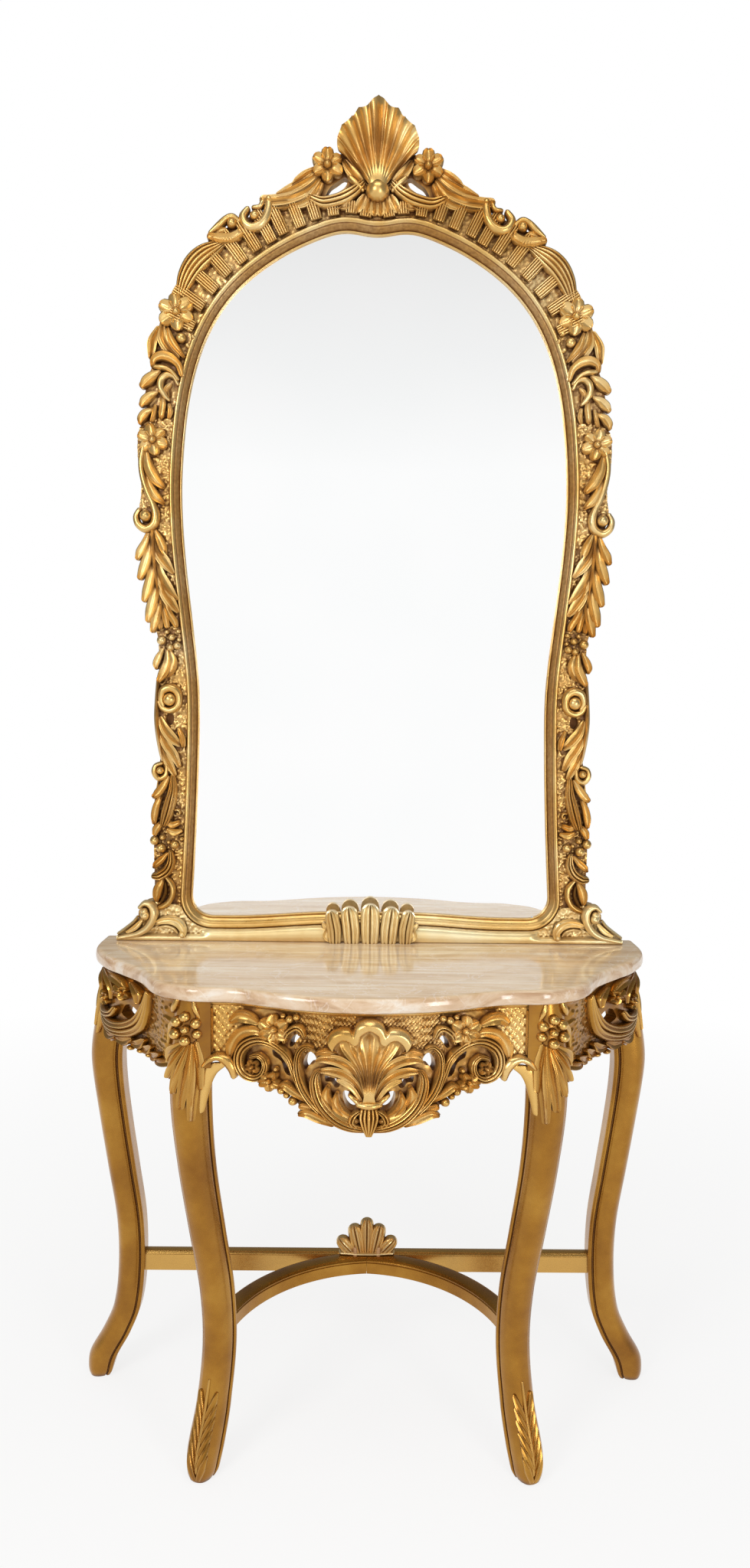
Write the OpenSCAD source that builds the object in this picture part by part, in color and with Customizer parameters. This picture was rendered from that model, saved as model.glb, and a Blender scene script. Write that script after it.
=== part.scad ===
// Console table with a marble top and a tall carved mirror standing on it.
// The origin is on the floor, under the middle of the overall box.
// X runs to the right, Y to the wall behind, and the front faces -Y.

/* [Overall] */
// Height from the floor to the tip of the crest
total_h = 2200; // [1900:10:2500]
// Depth from the front of the marble to the back of the battens
total_d = 400; // [360:5:460]

/* [Table top] */
// Height of the marble's top surface
table_h = 800; // [740:5:860]
// Thickness of the marble
marble_t = 22; // [16:1:32]
// How far the marble stands out past the aprons
marble_lip = 14; // [8:1:22]
// How far the rounding of the marble's edge reaches in
marble_nose = 9; // [4:1:12]

/* [Table frame] */
// Width over the side aprons at the back
frame_w = 906; // [800:2:1000]
// Thickness of the front and side aprons
apron_t = 24; // [18:1:30]
// Height of the front apron at its middle
front_drop = 195; // [150:5:230]
// Height of the side aprons
side_drop = 140; // [120:5:170]
// Thickness of the rear rail
rear_rail_t = 22; // [18:1:28]
// Height of the rear rail
rear_rail_h = 80; // [70:2:110]
// Height of the leaves and flowers above the boards they are carved on
relief = 11; // [6:1:16]

/* [Legs] */
// Side of the square leg heads
head_w = 54; // [46:1:60]
// Height of the leg heads
head_h = 88; // [84:2:110]
// Width of a leg at mid height
leg_w = 52; // [44:1:60]
// How far a front leg swings out from ankle to knee
front_swing = 50; // [30:1:60]
// How far a rear leg swings out from ankle to knee
rear_swing = 38; // [20:1:50]
// How far a rear foot turns out from the ankle
rear_kick = 60; // [30:1:70]
// How far a front foot turns out from the ankle
front_kick = 32; // [15:1:45]

/* [Stretchers] */
// Height of the stretchers' top above the floor
stretcher_z = 235; // [180:5:300]
// Height of the rear stretcher
rear_stretcher_h = 36; // [26:1:46]
// Thickness of the rear stretcher
rear_stretcher_t = 22; // [16:1:28]
// Radius of the bowed stretchers in plan
bow_r = 264; // [240:2:320]
// Width of the bowed stretchers
bow_w = 30; // [22:1:38]
// Height of the bowed stretchers
bow_h = 27; // [20:1:34]
// Height of the shell on the stretchers
finial_h = 68; // [50:2:90]
// Thickness of the shell on the stretchers
finial_t = 20; // [14:1:26]

/* [Mirror] */
// Width of the mirror over the tips of its base
mirror_w = 880; // [800:2:940]
// Thickness of the mirror's stiles and arch
mirror_t = 24; // [18:1:32]
// Thickness of the base rail
base_t = 36; // [30:1:44]
// Height of the base rail at its ends
base_h = 50; // [42:1:60]
// Where stiles and arch join, as a share of the arch's height above the marble
splice_share = 0.7287; // [0.71:0.001:0.74]
// How far the tips of the base stand out past the glass in view
stile_rim = 116; // [104:1:130]
// Height of the arch above the glass in view
arch_rim = 56; // [48:1:80]
// Height of the lower edge of the glass in view above the marble
sight_z = 51; // [44:1:56]
// Radius of the lower corners of the glass in view
sight_r = 45; // [25:1:60]
// Width of the smooth moulding around the glass
moulding_w = 20; // [16:1:24]
// Height of the moulding in front of the glass
moulding_h = 22; // [14:1:28]
// How far the moulding covers the edge of the glass
rebate = 8; // [5:1:10]
// Thickness of the glass
glass_t = 4; // [3:0.5:6]
// Thickness of the backboard
backboard_t = 6; // [4:0.5:9]
// How far the backboard reaches past the glass in view
backboard_rim = 24; // [22:0.5:26]
// Height of the crest above the arch
crest_h = 158; // [130:2:190]
// Thickness of the crest's board
crest_t = 24; // [18:1:30]

/* [Battens] */
// Width of the upright battens
batten_w = 24; // [18:1:30]
// Thickness of the upright battens
batten_t = 22; // [16:1:28]
// How far the battens reach up behind the mirror
batten_rise = 590; // [400:10:700]

/* [Joints] */
// Diameter of the dowels
dowel_d = 8; // [6:1:10]
// Length of the dowels in the table frame
apron_dowel_l = 30; // [24:1:40]
// Length of the dowels in the mirror frame
frame_dowel_l = 36; // [24:1:50]
// Length of the dowels in the stretchers
stretcher_dowel_l = 32; // [24:1:44]
// Gap between a dowel and its hole, on the radius
dowel_fit = 0.15; // [0.05:0.05:0.3]
// Side of the corner blocks
block_l = 76; // [70:1:95]
// Height of the corner blocks
block_h = 48; // [44:1:60]
// Shank diameter of the corner and batten screws
screw_d = 4.5; // [3.5:0.5:6]
// Head diameter of the corner and batten screws
screw_head_d = 9; // [7:0.5:12]
// Length of the corner and batten screws
screw_l = 38; // [30:1:44]
// Shank diameter of the small backboard screws
small_screw_d = 3; // [2.5:0.5:3.5]
// Length of the small backboard screws
small_screw_l = 14; // [11:1:20]
// Gap between a screw and its hole, on the radius
screw_fit = 0.15; // [0.05:0.05:0.3]

/* [Hidden] */

gold = "#c99a3c";
dark_gold = "#a97a2e";
marble_tone = "#dccbb8";
glass_tone = "#dfe4e8";
raw_wood = "#b48a5a";
steel_tone = "#8d9094";

back_y = total_d / 2;
rear_face_y = back_y - batten_t;
rail_front_y = rear_face_y - rear_rail_t;
plan_half = frame_w / 2;
plan_d = total_d - batten_t - marble_lip;
frame_top = table_h - marble_t;
mirror_h = total_h - table_h;
arch_top = mirror_h - crest_h;
splice_z = splice_share * arch_top;
sight_h = arch_top - arch_rim - sight_z;
mirror_half = mirror_w / 2;
sight_half = mirror_half - stile_rim;
mirror_face_y = rear_face_y - mirror_t;
base_face_y = rear_face_y - base_t;
glass_front_y = rear_face_y - glass_t;
dowel_r = dowel_d / 2;
skin = 2; // depth to which the carved details are rooted in their boards
round_fn = 5; // sides of the carved details
hole_fn = 14; // sides of a round hole where a board is faceted

// Sizes for which the carved details are drawn below: they follow the real sizes in proportion
drawn_mirror = [440, 1242]; // half width of the mirror, height of its arch above the marble
drawn_crest = 158;
drawn_base = 50;
drawn_front = [241, 195]; // half length and drop of the front apron
drawn_side = [166, 140]; // length and drop of a side apron
drawn_leg = [52, 778]; // width, height

// Plan of the aprons' outer face from the back corner to the middle of the front,
// as shares of the half width and of the depth
plan_shares = [[1, 0], [1, 0.2], [0.94, 0.36], [0.87, 0.46], [0.78, 0.59], [0.72, 0.73], [0.685, 0.785],
    [0.645, 0.815], [0.58, 0.85], [0.435, 0.865], [0.25, 0.95], [0.125, 0.985], [0, 1]];

// Lower edge of the front apron: share of its half length, share of the drop
front_edge_shares = [[0, 1], [0.03, 0.985], [0.08, 0.95], [0.17, 0.94], [0.4, 0.84], [0.44, 0.86],
    [0.47, 0.8], [0.61, 0.62], [0.71, 0.55], [0.8, 0.53], [0.9, 0.46], [1.2, 0.4]];

// Lower edge of a side apron: share of its length from the back, share of the drop
side_edge_shares = [[0, 0.9], [0.12, 0.96], [0.22, 1], [0.34, 0.9], [0.46, 0.87], [0.58, 0.93], [0.7, 0.88],
    [0.85, 0.8], [1, 0.78]];

// Edge of the glass in view above its lower corners: shares of the half width and of the height
sight_shares = [[0.932, 0.13], [0.92, 0.226], [0.912, 0.307], [0.918, 0.37], [0.954, 0.457],
    [0.99, 0.548], [1, 0.625], [0.988, 0.682], [0.948, 0.77], [0.852, 0.857], [0.688, 0.922],
    [0.478, 0.965], [0.324, 0.986], [0.179, 1], [0.07, 0.996]];
sight_foot_share = 0.95;
sight_dip_share = 0.99;

// Outer edge of the mirror's frame: shares of the half width and of the arch's height
outer_shares = [[1, 0], [1, 0.006], [0.955, 0.017], [0.925, 0.03], [0.9, 0.051], [0.865, 0.09],
    [0.862, 0.18], [0.845, 0.226], [0.832, 0.27], [0.846, 0.312], [0.84, 0.354], [0.837, 0.417],
    [0.87, 0.457], [0.902, 0.521], [0.884, 0.561], [0.907, 0.592], [0.897, 0.623], [0.912, 0.676],
    [0.89, 0.727], [0.874, 0.767], [0.85, 0.789], [0.838, 0.823], [0.8, 0.864], [0.74, 0.902],
    [0.71, 0.921], [0.66, 0.94], [0.593, 0.959], [0.5, 0.976], [0.4, 0.984], [0.25, 0.992],
    [0.12, 0.998], [0, 1]];
// Outline of the crest: shares of the mirror's half width and of the crest's height
crest_shares = [[0, 1], [0.059, 0.955], [0.114, 0.85], [0.155, 0.69], [0.164, 0.6], [0.15, 0.5],
    [0.182, 0.5], [0.236, 0.4], [0.255, 0.3], [0.314, 0.2], [0.364, 0.12], [0.4, 0.02]];

// Edge of the marble from below to above: share of the nose, share of the thickness
nose_shares = [[0.4, 0], [0.06, 0.14], [0, 0.42], [0.18, 0.7], [0.5, 0.9], [1, 1]];

// Half of a leg's section: outward and across, as shares of its width
leg_half_section = [[0.4, 0.3], [0.16, 0.48], [-0.2, 0.46], [-0.32, 0.3], [-0.38, 0.38], [-0.5, 0.34]];
leg_section = concat([[0.5, 0]], leg_half_section,
    [for (i = [len(leg_half_section) - 1 : -1 : 0]) [leg_half_section[i][0], -leg_half_section[i][1]]]);

// Heights of the leg's sections, as shares of its height
leg_heights = [0, 0.015, 0.05, 0.09, 0.135, 0.185, 0.25, 0.32, 0.39, 0.46, 0.53, 0.6, 0.67, 0.74, 0.81,
    0.9, 1];
// Bend of the legs: height share, share of the foot's kick, share of the knee's swing
front_bend = [[0, 1, 0], [0.05, 0.84, 0], [0.14, 0.34, 0], [0.26, 0, 0], [0.38, 0, 0.09], [0.51, 0, 0.44],
    [0.65, 0, 0.8], [0.78, 0, 1], [0.88, 0, 0.97], [1, 0, 0.82]];
rear_bend = [[0, 1, 0], [0.05, 0.88, 0], [0.11, 0.46, 0], [0.17, 0.15, 0], [0.27, 0, 0], [0.38, 0, 0.04],
    [0.5, 0, 0.38], [0.61, 0, 0.7], [0.72, 0, 0.97], [0.78, 0, 1], [0.86, 0, 0.75], [0.93, 0, 0.4],
    [1, 0, 0.14]];
// Width of the legs: height share, share of the width
leg_girth = [[0, 0.7], [0.02, 0.9], [0.06, 1], [0.16, 0.95], [0.3, 0.95], [0.5, 1], [0.66, 1.04],
    [0.8, 1.12], [1, 1.06]];

// Value at t on a smooth curve through stations whose first entry rises, for the entry k
function station(t, list, i = 0) =
    (i >= len(list) - 2 || t <= list[i + 1][0]) ? i : station(t, list, i + 1);
function slope_at(list, i, k) =
    let (a = list[max(i - 1, 0)], b = list[min(i + 1, len(list) - 1)])
    (b[k] - a[k]) / (b[0] - a[0]);
function smooth(t, list, k = 1) =
    let (i = station(t, list), a = list[i], b = list[i + 1], w = b[0] - a[0], u = (t - a[0]) / w)
    (2 * u ^ 3 - 3 * u ^ 2 + 1) * a[k] + (3 * u ^ 2 - 2 * u ^ 3) * b[k]
    + w * ((u ^ 3 - 2 * u ^ 2 + u) * slope_at(list, i, k) + (u ^ 3 - u ^ 2) * slope_at(list, i + 1, k));

// Points of a smooth curve through a list of points, n to each span
function spline(pts, n) = [
    for (i = [0 : len(pts) - 2])
        for (k = [0 : n - 1])
            let (u = k / n, last = len(pts) - 1)
            let (p0 = pts[max(i - 1, 0)], p1 = pts[i], p2 = pts[i + 1], p3 = pts[min(i + 2, last)])
            0.5 * (2 * p1 + (p2 - p0) * u + (2 * p0 - 5 * p1 + 4 * p2 - p3) * u ^ 2
                + (3 * p1 - p0 - 3 * p2 + p3) * u ^ 3),
    pts[len(pts) - 1]];
function reversed(list) = [for (i = [len(list) - 1 : -1 : 0]) list[i]];
function mirrored(list) = [for (p = list) [-p[0], p[1]]];

// A path moved sideways, out to the right of its direction
function side_of(a, b) = [b[1] - a[1], a[0] - b[0]] / norm(b - a);
function shifted(path, d) = [
    for (i = [0 : len(path) - 1])
        path[i] + d * side_of(path[max(i - 1, 0)], path[min(i + 1, len(path) - 1)])];
function ring_shifted(path, d) = [
    for (i = [0 : len(path) - 1])
        let (n = len(path))
        path[i] + d * side_of(path[(i + n - 1) % n], path[(i + 1) % n])];

// Plan of the table from the back left corner round the front to the back right corner
plan_right = spline([for (p = plan_shares) [p[0] * plan_half, rear_face_y - p[1] * plan_d]], 2);
plan_path = concat(mirrored(plan_right), [for (i = [len(plan_right) - 2 : -1 : 0]) plan_right[i]]);
front_start = 14; // index where the plan turns from the side to the front
front_table = [for (i = [len(plan_right) - 1 : -1 : front_start]) plan_right[i]];
side_table = [for (i = [front_start + 2 : -1 : 0]) [plan_right[i][1], plan_right[i][0]]];
function front_y(x) = lookup(abs(x), front_table);
function side_x(y) = lookup(y, side_table);
// Leg heads, the half length of the front apron and the ends of the side aprons
head_front_y = front_y(0.59 * plan_half) + head_w * 0.13;
front_head = [0.59 * plan_half, head_front_y + head_w / 2];
rear_head = [plan_half - head_w / 2, rear_face_y - head_w / 2];
front_half = front_head[0] - head_w / 2;
side_far = rear_face_y - head_w;
side_near = front_head[1] - head_w * 0.35;
side_run = side_far - side_near;

// Edge of the glass in view, in X and height above the marble, anticlockwise from the middle below
sight_corner = [for (a = [-90 : 22.5 : 0])
    [sight_foot_share * sight_half - sight_r + sight_r * cos(a), sight_z + sight_r + sight_r * sin(a)]];
sight_side = spline([sight_corner[len(sight_corner) - 1],
    each [for (p = sight_shares) [p[0] * sight_half, sight_z + p[1] * sight_h]]], 2);
sight_right = concat(sight_corner, [for (i = [1 : len(sight_side) - 1]) sight_side[i]]);
sight_path = concat([[0, sight_z]], sight_right, [[0, sight_z + sight_dip_share * sight_h]],
    reversed(mirrored(sight_right)));
outer_right = [for (p = outer_shares) [p[0] * mirror_half, p[1] * arch_top]];
outer_path = concat(outer_right, reversed(mirrored([for (i = [0 : len(outer_right) - 2]) outer_right[i]])));

// The battens stand just clear of the backboard, against the stiles
batten_top = table_h + batten_rise;
batten_x = backboard_rim + 1 + batten_w / 2
    + max([for (p = sight_path) if (p[1] < batten_rise + 15) p[0]]);

// Path of a leg's middle: the ankle is the still point of the bend
function leg_kick(front) = front ? front_kick : rear_kick;
function leg_swing(front) = front ? front_swing : rear_swing;
function leg_dir(front) = front ? [0.76, -0.65] : [1, 0];
function leg_bend(front, s) =
    let (list = front ? front_bend : rear_bend)
    smooth(s, list, 1) * leg_kick(front) + smooth(s, list, 2) * leg_swing(front);
function leg_head(front) = front ? front_head + [0.02, -0.2] * head_w : rear_head;
function leg_at(front, s) = leg_head(front) + (leg_bend(front, s) - leg_bend(front, 1)) * leg_dir(front);

// The bowed stretchers are arcs from the rear stretcher's middle to the front ankles
stretcher_s = (stretcher_z - bow_h / 2) / frame_top;
rear_ankle = leg_at(false, stretcher_s);
front_ankle = leg_at(true, stretcher_s);
rear_stretcher_front = rear_ankle[1] - rear_stretcher_t / 2;
bow_start = [0, rear_stretcher_front - bow_w * 0.27];
bow_chord = front_ankle - bow_start;
bow_rise = sqrt(bow_r ^ 2 - (norm(bow_chord) / 2) ^ 2);
bow_centre = bow_start + bow_chord / 2 + bow_rise * [bow_chord[1], -bow_chord[0]] / norm(bow_chord);
function bow_angle(p) = atan2(p[1] - bow_centre[1], p[0] - bow_centre[0]);
bow_end_dir = bow_angle(front_ankle);

module solid_between(rings) {
    n = len(rings[0]);
    m = len(rings);
    middle_low = [for (k = [0 : 2]) [for (p = rings[0]) p[k]] * [for (p = rings[0]) 1] / n];
    middle_high = [for (k = [0 : 2]) [for (p = rings[m - 1]) p[k]] * [for (p = rings[0]) 1] / n];
    points = concat([for (r = rings) each r], [middle_low, middle_high]);
    walls = [for (i = [0 : m - 2])
        for (j = [0 : n - 1])
            let (k = (j + 1) % n)
            each [[i * n + j, (i + 1) * n + j, (i + 1) * n + k], [i * n + j, (i + 1) * n + k, i * n + k]]];
    floors = [for (j = [0 : n - 1]) [j, (j + 1) % n, m * n]];
    roofs = [for (j = [0 : n - 1]) [(m - 1) * n + (j + 1) % n, (m - 1) * n + j, m * n + 1]];
    polyhedron(points = points, faces = concat(walls, floors, roofs), convexity = 6);
}

// Puts a carved detail on a face, with its relief standing out of it. On the mirror v is the
// height above the marble, on the crest above the arch, on a leg above the floor, and on the
// aprons the depth below the marble. On a side apron u runs forwards from the rear leg.
module seat(face, u, v) {
    if (face == "mirror") {
        x = u * mirror_half / drawn_mirror[0];
        translate([x, mirror_face_y, table_h + v * arch_top / drawn_mirror[1]])
            rotate([90, 0, 0])
                children();
    }
    if (face == "base") {
        translate([u * mirror_half / drawn_mirror[0], base_face_y, table_h + v * base_h / drawn_base])
            rotate([90, 0, 0])
                children();
    }
    if (face == "crest") {
        x = u * mirror_half / drawn_mirror[0];
        translate([x, rear_face_y - crest_t, table_h + arch_top + v * crest_h / drawn_crest])
            rotate([90, 0, 0])
                children();
    }
    if (face == "front") {
        x = u * front_half / drawn_front[0];
        turn = atan((front_y(x + 2) - front_y(x - 2)) / 4);
        translate([x, front_y(x), frame_top - v * front_drop / drawn_front[1]])
            rotate([90, 0, turn])
                children();
    }
    if (face == "side") {
        y = side_far - u * side_run / drawn_side[0];
        turn = atan((side_x(y + 2) - side_x(y - 2)) / 4);
        translate([side_x(y), y, frame_top - v * side_drop / drawn_side[1]])
            rotate([90, 0, 90 - turn])
                children();
    }
    if (face == "leg") {
        z = v * frame_top / drawn_leg[1];
        p = leg_at(true, z / frame_top) + 0.47 * leg_w * leg_dir(true);
        translate([p[0], p[1], z])
            rotate([90, 0, 90 + atan2(leg_dir(true)[1], leg_dir(true)[0])])
                translate([u * leg_w / drawn_leg[0], 0, 0])
                    children();
    }
    if (face == "finial") {
        translate([u, rear_stretcher_front, stretcher_z + v])
            rotate([90, 0, 0])
                children();
    }
}

module dome(r, h) {
    translate([0, 0, -skin])
        cylinder(h = h + skin, r1 = r, r2 = r * 0.5, $fn = round_fn);
}

// A carved strand through [u, v, half width] points, fullest in its middle
module strand(face, pts, h = relief) {
    for (i = [0 : len(pts) - 2]) {
        hull() {
            seat(face, pts[i][0], pts[i][1])
                dome(pts[i][2], h * (i == 0 ? 0.7 : 1));
            seat(face, pts[i + 1][0], pts[i + 1][1])
                dome(pts[i + 1][2], h * (i == len(pts) - 2 ? 0.6 : 1));
        }
    }
}

module boss(face, u, v, r, h = relief) {
    seat(face, u, v)
        dome(r, h);
}

// A flower: a lobed rosette with a raised eye
module flower(face, u, v, r, petals = 5) {
    seat(face, u, v) {
        translate([0, 0, -skin])
            linear_extrude(height = skin + relief * 0.8)
                polygon([for (i = [0 : 3 * petals - 1])
                    let (a = 120 * i / petals, out = (i % 3 == 0 ? 0.6 : 1) * r)
                    [out * cos(a), out * sin(a)]]);
        dome(r * 0.34, relief * 1.3);
    }
}

// A rolled scroll: a raised ring round an eye
module scroll(face, u, v, r) {
    seat(face, u, v) {
        difference() {
            translate([0, 0, -skin])
                cylinder(h = relief * 1.1 + skin, r1 = r, r2 = r * 0.85, $fn = 10);
            translate([0, 0, relief * 0.5])
                cylinder(h = relief, r = r * 0.68, $fn = 10);
        }
        dome(r * 0.42, relief * 1.15);
    }
}

// A fan of lobes that swell from a common root at u, v, towards higher v or, with up = -1, lower v
module fan(face, u, v, lobes, spread, reach, shrink, lobe_r, h = relief, up = 1) {
    for (i = [0 : lobes - 1]) {
        a = -spread + 2 * spread * i / (lobes - 1);
        r = reach - lobe_r - shrink * a ^ 2;
        hull() {
            seat(face, u, v)
                dome(lobe_r * 0.45, h * 0.7);
            seat(face, u + r * sin(a), v + up * r * cos(a))
                dome(lobe_r, h);
        }
    }
}

// A hole right through a board, tall or leaning, with rounded ends
module piercing(face, u, v, w, h, lean = 0) {
    seat(face, u, v)
        rotate([0, 0, lean])
            hull() {
                for (e = [-1, 1]) {
                    translate([0, e * (h - w) / 2, -2 * apron_t])
                        cylinder(h = 3 * apron_t, d = w, $fn = 6);
                }
            }
}

module dowel(at, azimuth, tilt, l, extra) {
    translate(at)
        rotate([0, tilt, azimuth])
            cylinder(h = l + 10 * extra, r = dowel_r + extra, center = true, $fn = hole_fn);
}

dowel_heights = [for (k = [2.25, 6.5]) frame_top - k * dowel_d];
module apron_dowel_set(extra) {
    for (side = [-1, 1], z = dowel_heights) {
        dowel([side * (front_head[0] - head_w / 2), head_front_y + head_w * 0.18, z], 0, 90,
            apron_dowel_l, extra);
        dowel([side * (front_head[0] + head_w * 0.52), front_head[1] + head_w * 0.13, z], 0, 90,
            apron_dowel_l, extra);
        dowel([side * (plan_half - apron_t / 2), rear_face_y - head_w, z], 90, 90, apron_dowel_l, extra);
        dowel([side * (plan_half - head_w), rear_face_y - rear_rail_t / 2, z], 0, 90, apron_dowel_l, extra);
    }
}

module stretcher_dowel_set(extra) {
    z = stretcher_z - bow_h / 2;
    for (side = [-1, 1]) {
        dowel([side * (rear_ankle[0] - leg_w * 0.47), rear_ankle[1], z], 0, 90, stretcher_dowel_l, extra);
        dowel([side * bow_w * 0.3, rear_stretcher_front, z], 90, 90, stretcher_dowel_l, extra);
        dowel([side * finial_h * 0.3, rear_stretcher_front - finial_t / 2, stretcher_z + dowel_r], 0, 0,
            stretcher_dowel_l * 0.75, extra);
        turn = bow_end_dir + 0.5 * leg_w / bow_r * 180 / PI;
        joint = bow_centre + (bow_r - 0.17 * bow_w) * [cos(turn), sin(turn)];
        dowel([side * joint[0], joint[1], z], side * (turn + 90), 90, stretcher_dowel_l, extra);
    }
}

function sight_reach(z) = max([for (p = sight_path) if (abs(p[1] - z) < 60) p[0]]) + moulding_w;
module frame_dowel_set(extra) {
    y = rear_face_y - mirror_t / 2;
    for (side = [-1, 1], step = [1.75 * dowel_d, 4.75 * dowel_d]) {
        dowel([side * (sight_foot_share * sight_half + moulding_w + step), y, table_h + base_h], 0, 0,
            frame_dowel_l, extra);
        dowel([side * (sight_reach(splice_z) + step), y, table_h + splice_z], 0, 0, frame_dowel_l, extra);
    }
    low = sight_z + sight_dip_share * sight_h + moulding_w;
    for (share = [0.3, 0.72]) {
        dowel([0, y, table_h + low + share * (arch_top - low)], 0, 90, frame_dowel_l, extra);
    }
}

module marble_top() {
    color(marble_tone)
        solid_between([for (p = nose_shares)
            [for (q = shifted(plan_path, marble_lip - p[0] * marble_nose))
                [q[0], q[1], frame_top + p[1] * marble_t]]]);
}

module apron_band(drop) {
    translate([0, 0, frame_top - drop])
        linear_extrude(height = drop)
            polygon(concat(plan_path, reversed(shifted(plan_path, -apron_t))));
}

module front_apron() {
    reach = front_half + 6;
    edge = spline([for (p = front_edge_shares) [p[0] * front_half, frame_top - p[1] * front_drop]], 2);
    color(dark_gold)
        difference() {
            union() {
                intersection() {
                    apron_band(front_drop);
                    rotate([90, 0, 0])
                        linear_extrude(height = total_d)
                            intersection() {
                                polygon(concat(reversed(mirrored(edge)), edge,
                                    [[2 * front_half, frame_top], [-2 * front_half, frame_top]]));
                                translate([-reach, 0])
                                    square([2 * reach, frame_top]);
                            }
                }
                difference() {
                    for (side = [-1, 1]) {
                        front_ornament(side);
                    }
                    applied_shell();
                }
            }
            for (side = [-1, 1]) {
                piercing("front", side * 28, 141, 13, 26, side * -28);
                piercing("front", side * 56, 113, 8, 12, side * -60);
                piercing("front", side * 88, 77, 14, 22, side * -20);
                piercing("front", side * 109, 46, 9, 17, side * 25);
                piercing("front", side * 134, 84, 10, 42, side * -42);
            }
            both_sides()
                leg_solid(true);
            apron_dowel_set(dowel_fit);
        }
}

// Foliage on one half of the front apron
module front_ornament(side) {
    for (stem = [
        [[14, 184, 8], [56, 160, 9], [88, 128, 8], [107, 94, 8], [128, 66, 7], [158, 56, 4]],
        [[20, 162, 6], [54, 142, 8], [76, 110, 8], [72, 84, 6]],
        [[8, 126, 5], [40, 88, 10], [74, 76, 7]],
        [[60, 158, 6], [100, 166, 3]],
        [[92, 40, 5], [104, 66, 7], [96, 96, 5]],
        [[176, 92, 7], [204, 98, 8], [232, 92, 5]]]) {
        strand("front", [for (p = stem) [side * p[0], p[1], p[2]]]);
    }
    flower("front", side * 172, 56, 24);
    flower("front", side * 152, 96, 13);
    boss("front", side * 168, 108, 7);
    boss("front", side * 206, 40, 12, relief * 0.7);
}

// The shell glued to the middle of the front apron: three rolled lobes over four flutes and a stem
module applied_shell() {
    depth = marble_lip - 1;
    difference() {
        union() {
            fan("front", 0, 130, 3, 34, 116, 0.012, 20, depth * 0.9, -1);
            fan("front", 0, 130, 4, 26, 96, 0.012, 8, depth, -1);
            strand("front", [[0, 126, 9], [0, 154, 12], [0, 186, 6]], depth * 0.8);
        }
        linear_extrude(height = frame_top)
            polygon(concat(plan_path, [[plan_half, back_y], [-plan_half, back_y]]));
    }
}

module apron_shell() {
    color(gold)
        applied_shell();
}

module side_apron() {
    edge = spline([for (p = side_edge_shares) [side_far - p[0] * side_run, frame_top - p[1] * side_drop]], 2);
    difference() {
        union() {
            intersection() {
                apron_band(side_drop);
                translate([front_head[0], 0, 0])
                    rotate([90, 0, 90])
                        linear_extrude(height = plan_half)
                            polygon(concat(edge, [[side_near, frame_top], [side_far, frame_top]]));
            }
            for (stem = [
                [[20, 84, 8], [50, 106, 9], [76, 96, 9], [104, 60, 7]],
                [[94, 106, 6], [128, 96, 8], [156, 66, 6]],
                [[8, 60, 6], [34, 44, 7], [56, 60, 5]],
                [[10, 10, 4], [80, 10, 4], [150, 10, 4]]]) {
                strand("side", stem);
            }
            flower("side", 46, 76, 15);
        }
        piercing("side", 78, 70, 12, 26, 20);
        piercing("side", 134, 74, 9, 18, -30);
        leg_solid(true);
        leg_solid(false);
        apron_dowel_set(dowel_fit);
    }
}

module left_apron() {
    color(dark_gold)
        mirror([1, 0, 0])
            side_apron();
}

module right_apron() {
    color(dark_gold)
        side_apron();
}

module rear_rail() {
    l = 2 * (plan_half - head_w);
    color(raw_wood)
        difference() {
            translate([-l / 2, rail_front_y, frame_top - rear_rail_h])
                cube([l, rear_rail_t, rear_rail_h]);
            apron_dowel_set(dowel_fit);
            batten_screw_set(screw_fit);
        }
}

// A cabriole leg on the right, swept through its sections, with its square head
module leg_solid(front) {
    dir = leg_dir(front);
    across = [-dir[1], dir[0]];
    solid_between([for (s = leg_heights)
        let (c = leg_at(front, s), w = leg_w * smooth(s, leg_girth))
        [for (p = leg_section)
            [c[0] + w * (p[0] * dir[0] + p[1] * across[0]), c[1] + w * (p[0] * dir[1] + p[1] * across[1]),
                s * frame_top]]]);
    head = front ? front_head : rear_head;
    translate([head[0] - head_w / 2, head[1] - head_w / 2, frame_top - head_h])
        cube([head_w, head_w, head_h]);
}

module both_sides() {
    children();
    mirror([1, 0, 0])
        children();
}

module leg(front) {
    difference() {
        union() {
            leg_solid(front);
            if (front) {
                leg_ornament();
            }
        }
        apron_dowel_set(dowel_fit);
        corner_screw_set(screw_fit);
        stretcher_dowel_set(dowel_fit);
    }
}

// The flower and long leaf on a front knee, and the leaf on the foot
module leg_ornament() {
    flower("leg", 0, 722, 20);
    strand("leg", [[-14, 694, 7], [0, 668, 12], [0, 628, 9], [0, 592, 3]], relief * 0.7);
    strand("leg", [[14, 694, 7], [0, 668, 12]], relief * 0.7);
    strand("leg", [[0, 150, 3], [0, 104, 8], [0, 60, 11], [0, 26, 9]], relief * 0.5);
    for (side = [-1, 1]) {
        strand("leg", [[side * 18, 768, 4], [side * 18, 704, 4]], relief * 0.6);
    }
}

module front_left_leg() {
    color(dark_gold)
        mirror([1, 0, 0])
            leg(true);
}

module front_right_leg() {
    color(dark_gold)
        leg(true);
}

module rear_left_leg() {
    color(dark_gold)
        mirror([1, 0, 0])
            leg(false);
}

module rear_right_leg() {
    color(dark_gold)
        leg(false);
}

module apron_dowels() {
    color(raw_wood)
        apron_dowel_set(0);
}

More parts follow.
